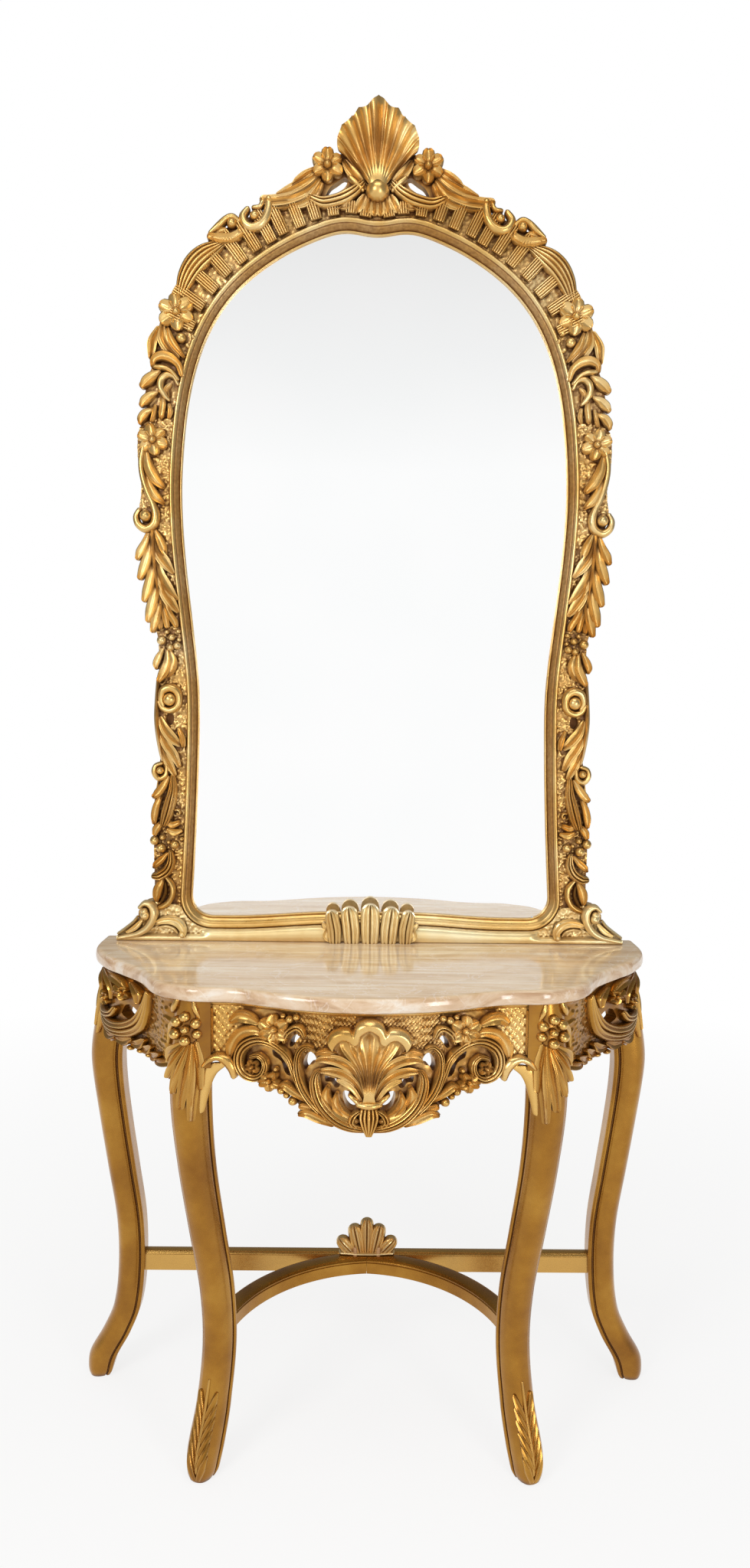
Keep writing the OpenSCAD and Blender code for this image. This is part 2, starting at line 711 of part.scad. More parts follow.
// Corner blocks fit the corner between the aprons' inner faces and are notched round the leg's head
module corner_block(front) {
    head = front ? front_head : rear_head;
    inner = shifted(plan_path, -apron_t);
    corner = head + [head_w / 2, front ? -head_w / 2 : head_w / 2];
    turn = front ? 1 : -1;
    difference() {
        translate([0, 0, frame_top - block_h * 13 / 12])
            linear_extrude(height = block_h)
                intersection() {
                    polygon(concat(inner, [[plan_half, rail_front_y], [-plan_half, rail_front_y]]));
                    polygon([corner, corner - [1.7 * block_l, 0], corner + [0, turn * 1.7 * block_l]]);
                    translate([0, -total_d])
                        square([plan_half, total_d + rail_front_y]);
                }
        leg_solid(front);
        corner_screw_set(screw_fit);
    }
}

module corner_blocks() {
    color(raw_wood)
        both_sides() {
            corner_block(true);
            corner_block(false);
        }
}

// A countersunk screw along +Z with its head's face at the origin
module screw(d, head_d, l, extra) {
    sink = (head_d - d) / 2;
    cylinder(h = sink + extra, r1 = head_d / 2 + extra, r2 = d / 2 + extra, $fn = hole_fn);
    cylinder(h = l + 4 * extra, r = d / 2 + extra, $fn = hole_fn);
}

module corner_screw_set(extra) {
    for (side = [-1, 1], front = [true, false], z = [3.6 * dowel_d, 5.1 * dowel_d]) {
        head = front ? front_head : rear_head;
        turn = front ? -1 : 1;
        corner = head + [head_w / 2, turn * head_w / 2];
        mouth = corner - [0.85, turn * 0.85] * block_l;
        translate([side * mouth[0], mouth[1], frame_top - z])
            rotate([0, 90, side > 0 ? turn * 45 : 180 - turn * 45])
                screw(screw_d, screw_head_d, screw_l, extra);
    }
}

module corner_screws() {
    color(steel_tone)
        corner_screw_set(0);
}

module rear_stretcher() {
    h = rear_stretcher_h;
    t = rear_stretcher_t;
    color(dark_gold)
        difference() {
            translate([-rear_ankle[0], rear_ankle[1], stretcher_z - h])
                rotate([90, 0, 90])
                    linear_extrude(height = 2 * rear_ankle[0])
                        polygon([[-t / 2, 0], [t / 2, 0], [t / 2, h * 0.85], [t * 0.32, h], [-t * 0.32, h],
                            [-t / 2, h * 0.85]]);
            both_sides()
                leg_solid(false);
            stretcher_dowel_set(dowel_fit);
        }
}

module bowed_stretcher() {
    w = bow_w / 2;
    from = bow_end_dir;
    to = bow_angle(bow_start) + 14;
    difference() {
        intersection() {
            translate([bow_centre[0], bow_centre[1], stretcher_z - bow_h])
                rotate([0, 0, from])
                    rotate_extrude(angle = to - from, $fn = 96)
                        translate([bow_r, 0])
                            polygon([[-w, 0], [w, 0], [w, bow_h * 0.8], [w * 0.7, bow_h], [-w * 0.7, bow_h],
                                [-w, bow_h * 0.8]]);
            translate([0, -total_d, 0])
                cube([frame_w, total_d + rear_stretcher_front, table_h]);
        }
        leg_solid(true);
        stretcher_dowel_set(dowel_fit);
    }
}

module left_stretcher() {
    color(dark_gold)
        mirror([1, 0, 0])
            bowed_stretcher();
}

module right_stretcher() {
    color(dark_gold)
        bowed_stretcher();
}

module stretcher_shell() {
    base_h = finial_h * 0.16;
    color(gold)
        difference() {
            union() {
                fan("finial", 0, base_h, 5, 62, finial_h - base_h, 0.0016, finial_h * 0.15, finial_t);
                translate([-finial_h * 0.36, rear_stretcher_front - finial_t, stretcher_z])
                    cube([finial_h * 0.72, finial_t, base_h]);
                strand("finial", [[-finial_h * 0.62, 7, 6], [0, 10, 8], [finial_h * 0.62, 7, 6]],
                    finial_t * 0.8);
            }
            translate([-finial_h, -total_d, 0])
                cube([2 * finial_h, 2 * total_d, stretcher_z]);
            translate([-finial_h, rear_stretcher_front, 0])
                cube([2 * finial_h, total_d, table_h]);
            stretcher_dowel_set(dowel_fit);
        }
}

module stretcher_dowels() {
    color(raw_wood)
        stretcher_dowel_set(0);
}

// The board of the mirror's frame between its outer edge and the sight moulding
module frame_board(t) {
    translate([0, rear_face_y, table_h])
        rotate([90, 0, 0])
            linear_extrude(height = t)
                difference() {
                    polygon(outer_path);
                    polygon(ring_shifted(sight_path, moulding_w));
                }
}

// The space over the moulding and the glass, kept clear of the frame's carving
module sight_clearance() {
    translate([0, back_y, table_h])
        rotate([90, 0, 0])
            linear_extrude(height = total_d)
                polygon(ring_shifted(sight_path, moulding_w));
}

module stile() {
    difference() {
        union() {
            intersection() {
                frame_board(mirror_t);
                translate([0, 0, table_h + base_h])
                    cube([mirror_w, total_d, splice_z - base_h]);
            }
            intersection() {
                stile_ornament();
                translate([0, -total_d, table_h + base_h])
                    cube([mirror_w, 2 * total_d, splice_z - base_h]);
            }
        }
        sight_clearance();
        piercing("mirror", 350, 384, 12, 22, 15);
        piercing("mirror", 352, 325, 9, 26, -20);
        frame_dowel_set(dowel_fit);
        batten_screw_set(screw_fit);
    }
}

module stile_ornament() {
    strand("mirror", [[372, 900, 8], [386, 884, 8]]);
    flower("mirror", 368, 852, 24);
    strand("mirror", [[366, 826, 6], [370, 790, 12], [376, 756, 6], [382, 728, 12]]);
    strand("mirror", [[374, 712, 5], [364, 660, 6], [356, 600, 6], [352, 546, 4]], relief * 0.7);
    for (leaf = [[384, 676, 10], [383, 642, 10], [378, 606, 10], [373, 572, 9], [366, 546, 8]]) {
        strand("mirror", [[leaf[0] - 20, leaf[1] - 10, 4], [leaf[0], leaf[1] + 4, leaf[2]]]);
    }
    strand("mirror", [[358, 632, 4], [347, 646, 9]]);
    strand("mirror", [[354, 578, 4], [341, 592, 9]]);
    for (berry = [[357, 522], [343, 528], [347, 509], [334, 512]]) {
        boss("mirror", berry[0], berry[1], 7);
    }
    for (leaf = [[364, 490, 8], [354, 474, 8], [342, 480, 7]]) {
        strand("mirror", [[352, 500, 4], leaf]);
    }
    scroll("mirror", 347, 419, 23);
    strand("mirror", [[366, 396, 5], [360, 364, 8], [340, 340, 8], [326, 334, 4]]);
    boss("mirror", 356, 292, 11);
    strand("mirror", [[342, 296, 5], [347, 252, 12], [340, 204, 5]]);
    flower("mirror", 356, 180, 17);
    strand("mirror", [[350, 152, 6], [358, 122, 11], [348, 100, 6]]);
    strand("mirror", [[352, 92, 6], [362, 78, 11], [374, 60, 6]]);
}

module left_stile() {
    color(gold)
        mirror([1, 0, 0])
            stile();
}

module right_stile() {
    color(gold)
        stile();
}

module arch() {
    difference() {
        union() {
            intersection() {
                frame_board(mirror_t);
                translate([0, 0, table_h + splice_z])
                    cube([mirror_w, total_d, mirror_h]);
            }
            intersection() {
                arch_ornament();
                translate([0, -total_d, table_h + splice_z])
                    cube([mirror_w, 2 * total_d, mirror_h]);
            }
        }
        sight_clearance();
        frame_dowel_set(dowel_fit);
    }
}

module arch_ornament() {
    strand("mirror", [[366, 945, 9], [380, 930, 6]]);
    strand("mirror", [[372, 918, 9], [386, 906, 5]]);
    scroll("mirror", 342, 938, 18);
    strand("mirror", [[318, 974, 5], [344, 972, 8], [364, 984, 6]]);
    strand("mirror", [[326, 992, 5], [346, 1010, 10], [338, 1036, 6]]);
    flower("mirror", 325, 1061, 30);
    strand("mirror", [[322, 1094, 7], [300, 1130, 12], [262, 1156, 10], [244, 1166, 5]]);
    flower("mirror", 234, 1190, 20);
    scroll("mirror", 201, 1209, 22);
    for (a = [50 : 4.5 : 82]) {
        strand("mirror", [[443 * cos(a), 745 + 500 * sin(a), 3], [460 * cos(a), 745 + 514 * sin(a), 4]],
            relief * 0.5);
    }
}

module left_arch() {
    color(gold)
        mirror([1, 0, 0])
            arch();
}

module right_arch() {
    color(gold)
        arch();
}

module base_rail() {
    color(gold)
        difference() {
            union() {
                intersection() {
                    frame_board(base_t);
                    translate([-mirror_half, 0, table_h])
                        cube([mirror_w, total_d, base_h]);
                }
                for (side = [-1, 1]) {
                    strand("base", [[side * 318, 19, 6], [side * 346, 34, 7], [side * 368, 30, 6]],
                        relief * 0.6);
                    strand("base", [[side * 394, 30, 9], [side * 414, 14, 7], [side * 434, 6, 4]],
                        relief * 0.6);
                    boss("base", side * 384, 36, 12, relief * 0.8);
                    strand("base", [[side * 120, 24, 3], [side * 290, 24, 3]], 3);
                    strand("base", [[side * 96, 8, 5], [side * 300, 8, 5]], 3);
                }
            }
            frame_dowel_set(dowel_fit);
        }
}

module base_shell() {
    color(gold)
        difference() {
            union() {
                fan("base", 0, 10, 5, 58, 62, 0.0012, 13, relief);
                strand("base", [[-72, 7, 6], [0, 8, 7], [72, 7, 6]], relief * 0.9);
            }
            translate([-mirror_half, base_face_y, 0])
                cube([mirror_w, total_d, table_h + sight_z - moulding_w]);
            translate([-mirror_half, -total_d, 0])
                cube([mirror_w, 2 * total_d, table_h]);
            translate([-mirror_half, glass_front_y - moulding_h, 0])
                cube([mirror_w, total_d, total_h]);
        }
}

module frame_dowels() {
    color(raw_wood)
        frame_dowel_set(0);
}

module crest_shell() {
    outline = [for (p = crest_shares) [p[0] * mirror_half, arch_top + p[1] * crest_h]];
    foot = 0.34 * mirror_half;
    color(gold)
        difference() {
            union() {
                translate([0, rear_face_y, table_h])
                    rotate([90, 0, 0])
                        linear_extrude(height = crest_t)
                            difference() {
                                polygon(concat(reversed(mirrored(outline)), outline,
                                    [[foot, arch_top - 0.2 * crest_h], [-foot, arch_top - 0.2 * crest_h]]));
                                polygon(outer_path);
                            }
                fan("crest", 0, 6, 9, 66, drawn_crest - 8, 0.019, 12, relief * 1.6);
                boss("crest", 0, 4, 22, relief * 2.2);
                fan("crest", 0, 4, 5, 56, 34, 0.0012, 6, relief, -1);
                for (side = [-1, 1]) {
                    flower("crest", side * 82, 54, 25);
                    strand("crest", [[side * 30, 8, 8], [side * 84, 4, 9], [side * 124, -4, 7]]);
                    strand("crest", [[side * 104, 34, 7], [side * 132, 12, 12], [side * 166, 2, 10],
                        [side * 186, -12, 4]]);
                }
            }
            for (side = [-1, 1]) {
                piercing("crest", side * 62, 22, 13, 34, side * 62);
            }
        }
}

// The smooth moulding: a rebate for the glass, a rounded ridge, a cove and a fillet
module sight_moulding() {
    w = moulding_w;
    h = moulding_h;
    front = rear_face_y - glass_t;
    section = [[0, front], [0, front - 0.25 * h], [0.22 * w, front - 0.82 * h], [0.44 * w, front - h],
        [0.7 * w, front - 0.74 * h], [w, front - 0.88 * h], [w, rear_face_y], [rebate, rear_face_y],
        [rebate, front]];
    n = len(sight_path);
    m = len(section);
    rows = [for (s = section) ring_shifted(sight_path, s[0])];
    points = [for (j = [0 : m - 1]) for (q = rows[j]) [q[0], section[j][1], table_h + q[1]]];
    faces = [for (j = [0 : m - 1])
        for (i = [0 : n - 1])
            let (a = j * n + i, b = j * n + (i + 1) % n, c = ((j + 1) % m) * n + (i + 1) % n,
                d = ((j + 1) % m) * n + i)
            each [[a, b, c], [a, c, d]]];
    color(gold)
        difference() {
            polyhedron(points = points, faces = faces, convexity = 8);
            backboard_screw_set(screw_fit);
        }
}

module mirror_glass() {
    color(glass_tone)
        translate([0, rear_face_y, table_h])
            rotate([90, 0, 0])
                linear_extrude(height = glass_t)
                    polygon(ring_shifted(sight_path, rebate - 0.3));
}

module backboard() {
    color(raw_wood)
        difference() {
            translate([0, rear_face_y + backboard_t, table_h])
                rotate([90, 0, 0])
                    linear_extrude(height = backboard_t)
                        polygon(ring_shifted(sight_path, backboard_rim));
            backboard_screw_set(screw_fit);
        }
}

module backboard_screw_set(extra) {
    ring = ring_shifted(sight_path, (rebate + moulding_w) / 2 + 1);
    step = 6;
    for (i = [2 : step : len(ring) - 1]) {
        translate([ring[i][0], rear_face_y + backboard_t, table_h + ring[i][1]])
            rotate([90, 0, 0])
                screw(small_screw_d, 2 * small_screw_d, small_screw_l, extra);
    }
}

module backboard_screws() {
    color(steel_tone)
        backboard_screw_set(0);
}

module batten() {
    low = frame_top - rear_rail_h;
    difference() {
        translate([batten_x - batten_w / 2, rear_face_y, low])
            cube([batten_w, batten_t, batten_top - low]);
        batten_screw_set(screw_fit);
    }
}

module batten_screw_set(extra) {
    for (side = [-1, 1],
        z = [frame_top - 0.8 * rear_rail_h, frame_top - 0.2 * rear_rail_h,
            table_h + 0.3 * batten_rise, batten_top - 1.25 * batten_w]) {
        translate([side * batten_x, back_y, z])
            rotate([90, 0, 0])
                screw(screw_d, screw_head_d, screw_l, extra);
    }
}

module left_batten() {
    color(raw_wood)
        mirror([1, 0, 0])
            batten();
}

module right_batten() {
    color(raw_wood)
        batten();
}

module batten_screws() {
    color(steel_tone)
        batten_screw_set(0);
}

marble_top();
front_apron();
apron_shell();
left_apron();
right_apron();
rear_rail();
front_left_leg();
front_right_leg();
rear_left_leg();
rear_right_leg();
apron_dowels();
corner_blocks();
corner_screws();
rear_stretcher();
left_stretcher();
right_stretcher();
stretcher_shell();
stretcher_dowels();
left_stile();
right_stile();
left_arch();
right_arch();
base_rail();
frame_dowels();
crest_shell();
base_shell();
sight_moulding();
mirror_glass();
backboard();
backboard_screws();
left_batten();
right_batten();
batten_screws();
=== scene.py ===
# Looks for a console table with a marble top and a tall carved mirror standing on it.
# Sizes are millimetres while a piece is made. Its mesh is turned to metres when it is finished.
import bisect
import math

import bmesh
import bpy
from mathutils import Matrix, Vector, noise


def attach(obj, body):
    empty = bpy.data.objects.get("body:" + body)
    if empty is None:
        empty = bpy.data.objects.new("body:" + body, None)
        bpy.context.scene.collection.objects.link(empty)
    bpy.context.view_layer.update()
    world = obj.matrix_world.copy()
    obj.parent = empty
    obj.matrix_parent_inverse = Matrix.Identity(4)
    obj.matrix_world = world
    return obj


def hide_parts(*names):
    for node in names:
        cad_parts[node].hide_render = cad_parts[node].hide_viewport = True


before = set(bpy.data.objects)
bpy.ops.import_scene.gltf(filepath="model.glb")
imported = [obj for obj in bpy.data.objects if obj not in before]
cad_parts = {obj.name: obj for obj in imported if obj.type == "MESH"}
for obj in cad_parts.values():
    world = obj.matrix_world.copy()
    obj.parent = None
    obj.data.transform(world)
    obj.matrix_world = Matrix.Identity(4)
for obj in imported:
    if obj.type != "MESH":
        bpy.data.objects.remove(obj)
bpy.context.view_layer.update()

# The table's plan and heights, the same as the model's
plan = {"half": 453, "back": 178, "depth": 364, "frameTop": 778, "tableTop": 800, "head": 54,
    "shares": [(1, 0), (1, 0.2), (0.94, 0.36), (0.87, 0.46), (0.78, 0.59), (0.72, 0.73), (0.685, 0.785),
        (0.645, 0.815), (0.58, 0.85), (0.435, 0.865), (0.25, 0.95), (0.125, 0.985), (0, 1)]}
# The mirror's outlines, as heights above the marble
glass = {"half": 324, "low": 39.5, "rise": 8.5, "height": 1147, "corner": 36, "foot": 0.963, "dip": 0.989,
    "shoulder": 8,
    "shares": [(0.942, 0.13), (0.928, 0.226), (0.92, 0.307), (0.926, 0.37), (0.96, 0.457), (0.992, 0.548),
        (1, 0.625), (0.988, 0.682), (0.948, 0.77), (0.852, 0.857), (0.688, 0.922), (0.478, 0.965),
        (0.324, 0.986), (0.179, 1), (0.07, 0.996)]}
mirror = {"half": 440, "archTop": 1242, "splice": 905, "back": 178, "face": 154, "baseFace": 142,
    "shares": [(0.86, 0.05), (0.862, 0.18), (0.845, 0.226), (0.832, 0.27), (0.846, 0.312), (0.84, 0.354),
        (0.837, 0.417), (0.87, 0.457), (0.902, 0.521), (0.884, 0.561), (0.907, 0.592), (0.897, 0.623),
        (0.912, 0.676), (0.89, 0.727), (0.874, 0.767), (0.85, 0.789), (0.838, 0.823), (0.8, 0.864),
        (0.74, 0.902), (0.71, 0.921), (0.66, 0.94), (0.593, 0.959), (0.5, 0.976), (0.4, 0.984),
        (0.25, 0.992), (0.12, 0.998), (0, 1)]}


def smoothCurve(points, steps):
    curve = []
    last = len(points) - 1
    for i in range(last):
        spans = zip(points[max(i - 1, 0)], points[i], points[i + 1], points[min(i + 2, last)])
        spans = list(spans)
        for k in range(steps):
            t = k / steps
            curve.append(tuple(0.5 * (2 * b + (c - a) * t + (2 * a - 5 * b + 4 * c - d) * t * t
                + (3 * b - a - 3 * c + d) * t ** 3) for a, b, c, d in spans))
    curve.append(tuple(points[last]))
    return curve


def between(x, xs, ys):  # straight line between the stations of a list that rises
    i = min(max(bisect.bisect_right(xs, x) - 1, 0), len(xs) - 2)
    t = (x - xs[i]) / (xs[i + 1] - xs[i])
    return ys[i] + (ys[i + 1] - ys[i]) * min(max(t, 0), 1)


def smoothStep(low, high, x):
    t = min(max((x - low) / (high - low), 0), 1)
    return t * t * (3 - 2 * t)


planRight = smoothCurve([(a * plan["half"], plan["back"] - b * plan["depth"]) for a, b in plan["shares"]], 8)
frontXs, frontYs = zip(*reversed(planRight[56:]))
sideXs, sideYs = zip(*reversed(planRight[:65]))


def frontY(x):
    return between(abs(x), frontXs, frontYs)


def sideX(y):
    return between(y, sideYs, sideXs)


frontHead = Vector((0.59 * plan["half"], frontY(0.59 * plan["half"]) + 0.63 * plan["head"]))
rearHead = Vector((plan["half"] - plan["head"] / 2, plan["back"] - plan["head"] / 2))
sideFar = plan["back"] - plan["head"]
sideNear = frontHead[1] - 0.35 * plan["head"]
apronSide = {"length": 166, "drop": 140, "end": 182}
stretcher = {"height": 235, "front": 140}

# Legs: heights with the foot's kick and the knee's swing, as in the model
legs = {
    "front": {"kick": 32, "swing": 50, "dir": Vector((0.76, -0.65)), "kickDir": Vector((0.72, -1.15)),
        "head": frontHead + Vector((1.1, -10.8)),
        "bend": [(0, 1, 0), (0.05, 0.84, 0), (0.14, 0.34, 0), (0.26, 0, 0), (0.38, 0, 0.09), (0.51, 0, 0.44),
            (0.65, 0, 0.8), (0.78, 0, 1), (0.88, 0, 0.97), (1, 0, 0.82)]},
    "rear": {"kick": 60, "swing": 38, "dir": Vector((1, 0)), "kickDir": Vector((1, 0)), "head": rearHead,
        "bend": [(0, 1, 0), (0.05, 0.88, 0), (0.11, 0.46, 0), (0.17, 0.15, 0), (0.27, 0, 0), (0.38, 0, 0.04),
            (0.5, 0, 0.38), (0.61, 0, 0.7), (0.72, 0, 0.97), (0.78, 0, 1), (0.86, 0, 0.75), (0.93, 0, 0.4),
            (1, 0, 0.14)]}}
legWidth = 52
legGirth = [(0, 0.7), (0.008, 0.82), (0.02, 0.9), (0.06, 1), (0.16, 0.95), (0.3, 0.95), (0.5, 1), (0.66, 1.04),
    (0.8, 1.12), (1, 1.06)]
# Half a leg's section: a rounded outer face, a groove and a flat band on the inner side
legSection = [(0.5, 0), (0.47, 0.15), (0.4, 0.3), (0.29, 0.42), (0.16, 0.48), (-0.02, 0.49), (-0.17, 0.46),
    (-0.29, 0.41), (-0.315, 0.34), (-0.35, 0.33), (-0.375, 0.375), (-0.43, 0.385), (-0.48, 0.35), (-0.5, 0.31),
    (-0.5, 0)]


def stationValue(t, stations, k):
    i = 0
    while i < len(stations) - 2 and t > stations[i + 1][0]:
        i += 1
    slope = []
    for j in (i, i + 1):
        a, b = stations[max(j - 1, 0)], stations[min(j + 1, len(stations) - 1)]
        slope.append((b[k] - a[k]) / (b[0] - a[0]))
    a, b = stations[i], stations[i + 1]
    w = b[0] - a[0]
    u = (t - a[0]) / w
    return ((2 * u ** 3 - 3 * u * u + 1) * a[k] + (3 * u * u - 2 * u ** 3) * b[k]
        + w * ((u ** 3 - 2 * u * u + u) * slope[0] + (u ** 3 - u * u) * slope[1]))


def legCentre(which, z):
    leg = legs[which]
    s = z / plan["frameTop"]
    kick = stationValue(s, leg["bend"], 1) * leg["kick"]
    swing = (stationValue(s, leg["bend"], 2) - stationValue(1, leg["bend"], 2)) * leg["swing"]
    return leg["head"] + kick * leg["kickDir"] + swing * leg["dir"]


def legGirthAt(z):
    return legWidth * stationValue(z / plan["frameTop"], legGirth, 1)


def sectionLine():  # the leg's section with its running length from the outermost point
    half = smoothCurve(legSection, 4)
    line = half + [(a, -b) for a, b in reversed(half[1:-1])]
    lengths = [0]
    for p, q in zip(half, half[1:]):
        lengths.append(lengths[-1] + math.dist(p, q))
    return line, half, lengths


legLine, legHalf, legLengths = sectionLine()


# Faces that the carving is laid on: u across, v up or down, h out of the face
def onMirror(face):
    return lambda u, v, h: Vector((u, face - h, plan["tableTop"] + v))


def onFront(u, v, h):
    slope = (frontY(u + 3) - frontY(u - 3)) / 6
    out = Vector((slope, -1, 0)).normalized()
    return Vector((u, frontY(u), plan["frameTop"] - v)) + h * out


def onSide(side):
    def place(u, v, h):
        y = sideFar - u * (sideFar - sideNear) / apronSide["length"]
        slope = (sideX(y + 3) - sideX(y - 3)) / 6
        out = Vector((1, -slope, 0)).normalized()
        p = Vector((sideX(y), y, plan["frameTop"] - v)) + h * out
        return Vector((side * p.x, p.y, p.z))
    return place


def onLeg(which, side):
    def place(u, v, h):
        z = min(max(v, 0), plan["frameTop"])
        width = legGirthAt(z)
        reach = abs(u) / width
        i = min(bisect.bisect_right(legLengths, reach), len(legLengths) - 1)
        a, b = Vector(legHalf[i - 1]), Vector(legHalf[i])
        p = a + (b - a) * (reach - legLengths[i - 1]) / (legLengths[i] - legLengths[i - 1])
        before, after = Vector(legHalf[max(i - 3, 0)]), Vector(legHalf[min(i + 2, len(legHalf) - 1)])
        if i < 3:
            before = Vector((legHalf[3 - i][0], -legHalf[3 - i][1]))
        t = (after - before).normalized()
        n = Vector((t.y, -t.x))
        sign = -1 if u < 0 else 1
        out = legs[which]["dir"]
        across = Vector((-out.y, out.x))
        c = legCentre(which, z)
        c = c + width * (p.x * out + sign * p.y * across) + h * (n.x * out + sign * n.y * across)
        return Vector((side * c.x, c.y, z))
    return place


def onStretcher(u, v, h):
    return Vector((u, stretcher["front"] - h, stretcher["height"] + v))


# Carving: every detail is a grid of quads, draped over its form and closed at its ends
def newCarving(place):
    bm = bmesh.new()
    # Each vertex keeps a share of dark colour for the gilt: umber together with painted shade in the hollows,
    # and below zero a painted highlight. The carving's lift moves all its details toward that highlight
    return {"bm": bm, "patina": bm.verts.layers.float.new("patina"), "place": place, "paintedHighlight": 0}


def drape(carving, along, around, shape, fill=True):
    bm, patina, place = carving["bm"], carving["patina"], carving["place"]
    made = bmesh.ops.create_grid(bm, x_segments=along, y_segments=around, size=0.5)["verts"]
    for vert in made:
        i, j = round((vert.co.x + 0.5) * along), round((vert.co.y + 0.5) * around)
        u, v, h, dark = shape(i, j)
        vert.co = place(u, v, h)
        vert[patina] = dark
    bmesh.ops.remove_doubles(bm, verts=made, dist=0.01)
    closeUp(bm, [v for v in made if v.is_valid], fill)


def closeUp(bm, verts, fill=True):  # fills the open ends and turns every face outwards
    faces = list(dict.fromkeys(f for v in verts for f in v.link_faces))
    if fill:
        rim = dict.fromkeys(e for f in faces for e in f.edges if e.is_boundary)
        faces += bmesh.ops.holes_fill(bm, edges=list(rim), sides=0)["faces"]
    bmesh.ops.recalc_face_normals(bm, faces=faces)


def crossHeight(kind, count, q):  # height across a strand, q from -1 to 1, as a share of its full height
    edge = 1 - 0.45 * abs(q) ** 3
    wave = abs(math.sin(math.pi * count * (q + 1) / 2))
    if kind == "reed":  # rounded ribs with sharp valleys
        return edge * (0.56 + 0.44 * wave ** 0.8)
    if kind == "flute":  # hollows with sharp ridges
        return edge * (1 - 0.46 * wave ** 0.9)
    if kind == "scoop":  # one hollow with a raised rim
        return (0.45 + 0.55 * abs(q) ** 1.5) * (1 - 0.34 * smoothStep(0.84, 1, abs(q)))
    if kind == "ridge":
        return 1 - 0.72 * abs(q) ** 0.9
    return math.sqrt(max(1 - 0.82 * q * q, 0))  # round


def roundedEnds(rows, ends=(True, True)):
    rows = list(rows)
    for end in (0, 1):
        a, b = (rows[0], rows[1]) if end == 0 else (rows[-1], rows[-2])
        step = Vector((a[0] - b[0], a[1] - b[1])).normalized()
        cap = [(a[0] + step.x * a[2] * math.sin(t), a[1] + step.y * a[2] * math.sin(t),
            a[2] * max(math.cos(t), 0.02)) for t in (0.5, 0.95, 1.3, math.pi / 2)] if ends[end] else []
        rows = list(reversed(cap)) + rows if end == 0 else rows + cap
    return rows


def strand(carving, points, kind="scoop", count=1, height=9, root=5, lift=(0.75, 0.75), steps=5, side=1,
        ends=(True, True)):
    rows = roundedEnds(smoothCurve([(side * p[0], p[1], p[2]) for p in points], steps), ends)
    held = 0.5 if kind == "scoop" else 0.7
    last = len(rows) - 1
    tops = 6 + 5 * count if kind in ("reed", "flute") else 10
    qs = [-1] + [-1 + 2 * k / tops for k in range(tops + 1)] + [1]
    widths = [max(r[2], 0.05) for r in rows]
    widest = max(widths)
    lengths = [0]
    for a, b in zip(rows, rows[1:]):
        lengths.append(lengths[-1] + math.dist(a[:2], b[:2]))

    def shape(i, j):
        j = j % len(qs)
        a, b = rows[max(i - 1, 0)], rows[min(i + 1, last)]
        t = Vector((b[0] - a[0], b[1] - a[1])).normalized()
        q = qs[j]
        u, v = rows[i][0] - t.y * q * widths[i], rows[i][1] + t.x * q * widths[i]
        # The last value is umber with painted shade: full at the root, deeper down the low sides and valleys of
        # the strand; the carving's lift paints its ridges with a pale highlight
        if j in (0, len(qs) - 1):
            return u, v, -root, 1
        s = lengths[i] / lengths[-1]
        rise = (lift[0] + (1 - lift[0]) * smoothStep(0, 0.4, s)) * (1 + (lift[1] - 1) * smoothStep(0.6, 1, s))
        slim = min(1, 0.35 + 0.65 * (widths[i] / widest) ** 0.7)
        share = crossHeight(kind, count, q)
        return u, v, height * rise * slim * share, held * min(max(1.5 - 1.6 * share, 0), 1) - carving["paintedHighlight"]

    drape(carving, last, len(qs), shape)


def bead(carving, u, v, radius, height, side=1, deep=0.6):
    bm, patina, place = carving["bm"], carving["patina"], carving["place"]
    made = bmesh.ops.create_icosphere(bm, subdivisions=3, radius=1)["verts"]
    for vert in made:
        x, y, z = vert.co
        # Umber with painted shade: the bead darkens towards its root, where it meets the ground, and the
        # carving's lift paints its top with a pale highlight
        vert[patina] = min(max(0.75 - 0.9 * z, 0), 1) - carving["paintedHighlight"]
        vert.co = place(side * u + radius * x, v + radius * y, height * (z if z > 0 else deep * z))
    closeUp(bm, made, False)


def flower(carving, u, v, radius, petals, turn, height, side):
    for k in range(petals):
        a = math.radians(turn + 360 * k / petals)
        full = 1 + 0.1 * math.sin(2.3 * k + u)
        pts = [(u + radius * r * math.cos(a), v + radius * r * math.sin(a), radius * w * full)
            for r, w in ((0.22, 0.2), (0.44, 0.38), (0.63, 0.37))]
        strand(carving, pts, "scoop", 1, height, lift=(0.62, 1.04 * full), steps=3, side=side)
    bead(carving, u, v, radius * 0.24, height * 1.1, side)


def volute(carving, u, v, radius, start, turn, width, height, side):  # a strand that winds in to a knob
    steps = max(int(abs(turn) / 30), 4)
    pts = []
    for k in range(steps + 1):
        t = k / steps
        a = math.radians(start + turn * t)
        r = radius * (1 - 0.65 * t) - width * 0.5
        pts.append((u + r * math.cos(a), v + r * math.sin(a), width * (1 - 0.45 * t) / 2))
    strand(carving, pts, "round", 1, height, lift=(0.7, 1), steps=2, side=side)
    bead(carving, u, v, radius * 0.3, height * 1.05, side)


# Lays a list of details on one face. A bead is (u, v, radius, height), a flower (u, v, radius, petals,
# turn, height) and a volute (u, v, radius, start, turn, width, height). Every other detail is a strand:
# its section, its ribs, its height, its lift at root and tip, and points (u, v, half width)
def carve(carving, details, side=1):
    for kind, *rest in details:
        if kind == "flower":
            flower(carving, *rest, side)
        elif kind == "bead":
            bead(carving, *rest, side)
        elif kind == "volute":
            volute(carving, *rest, side)
        else:
            count, height, lift, *points = rest
            strand(carving, points, kind, count, height, lift=lift, side=side)


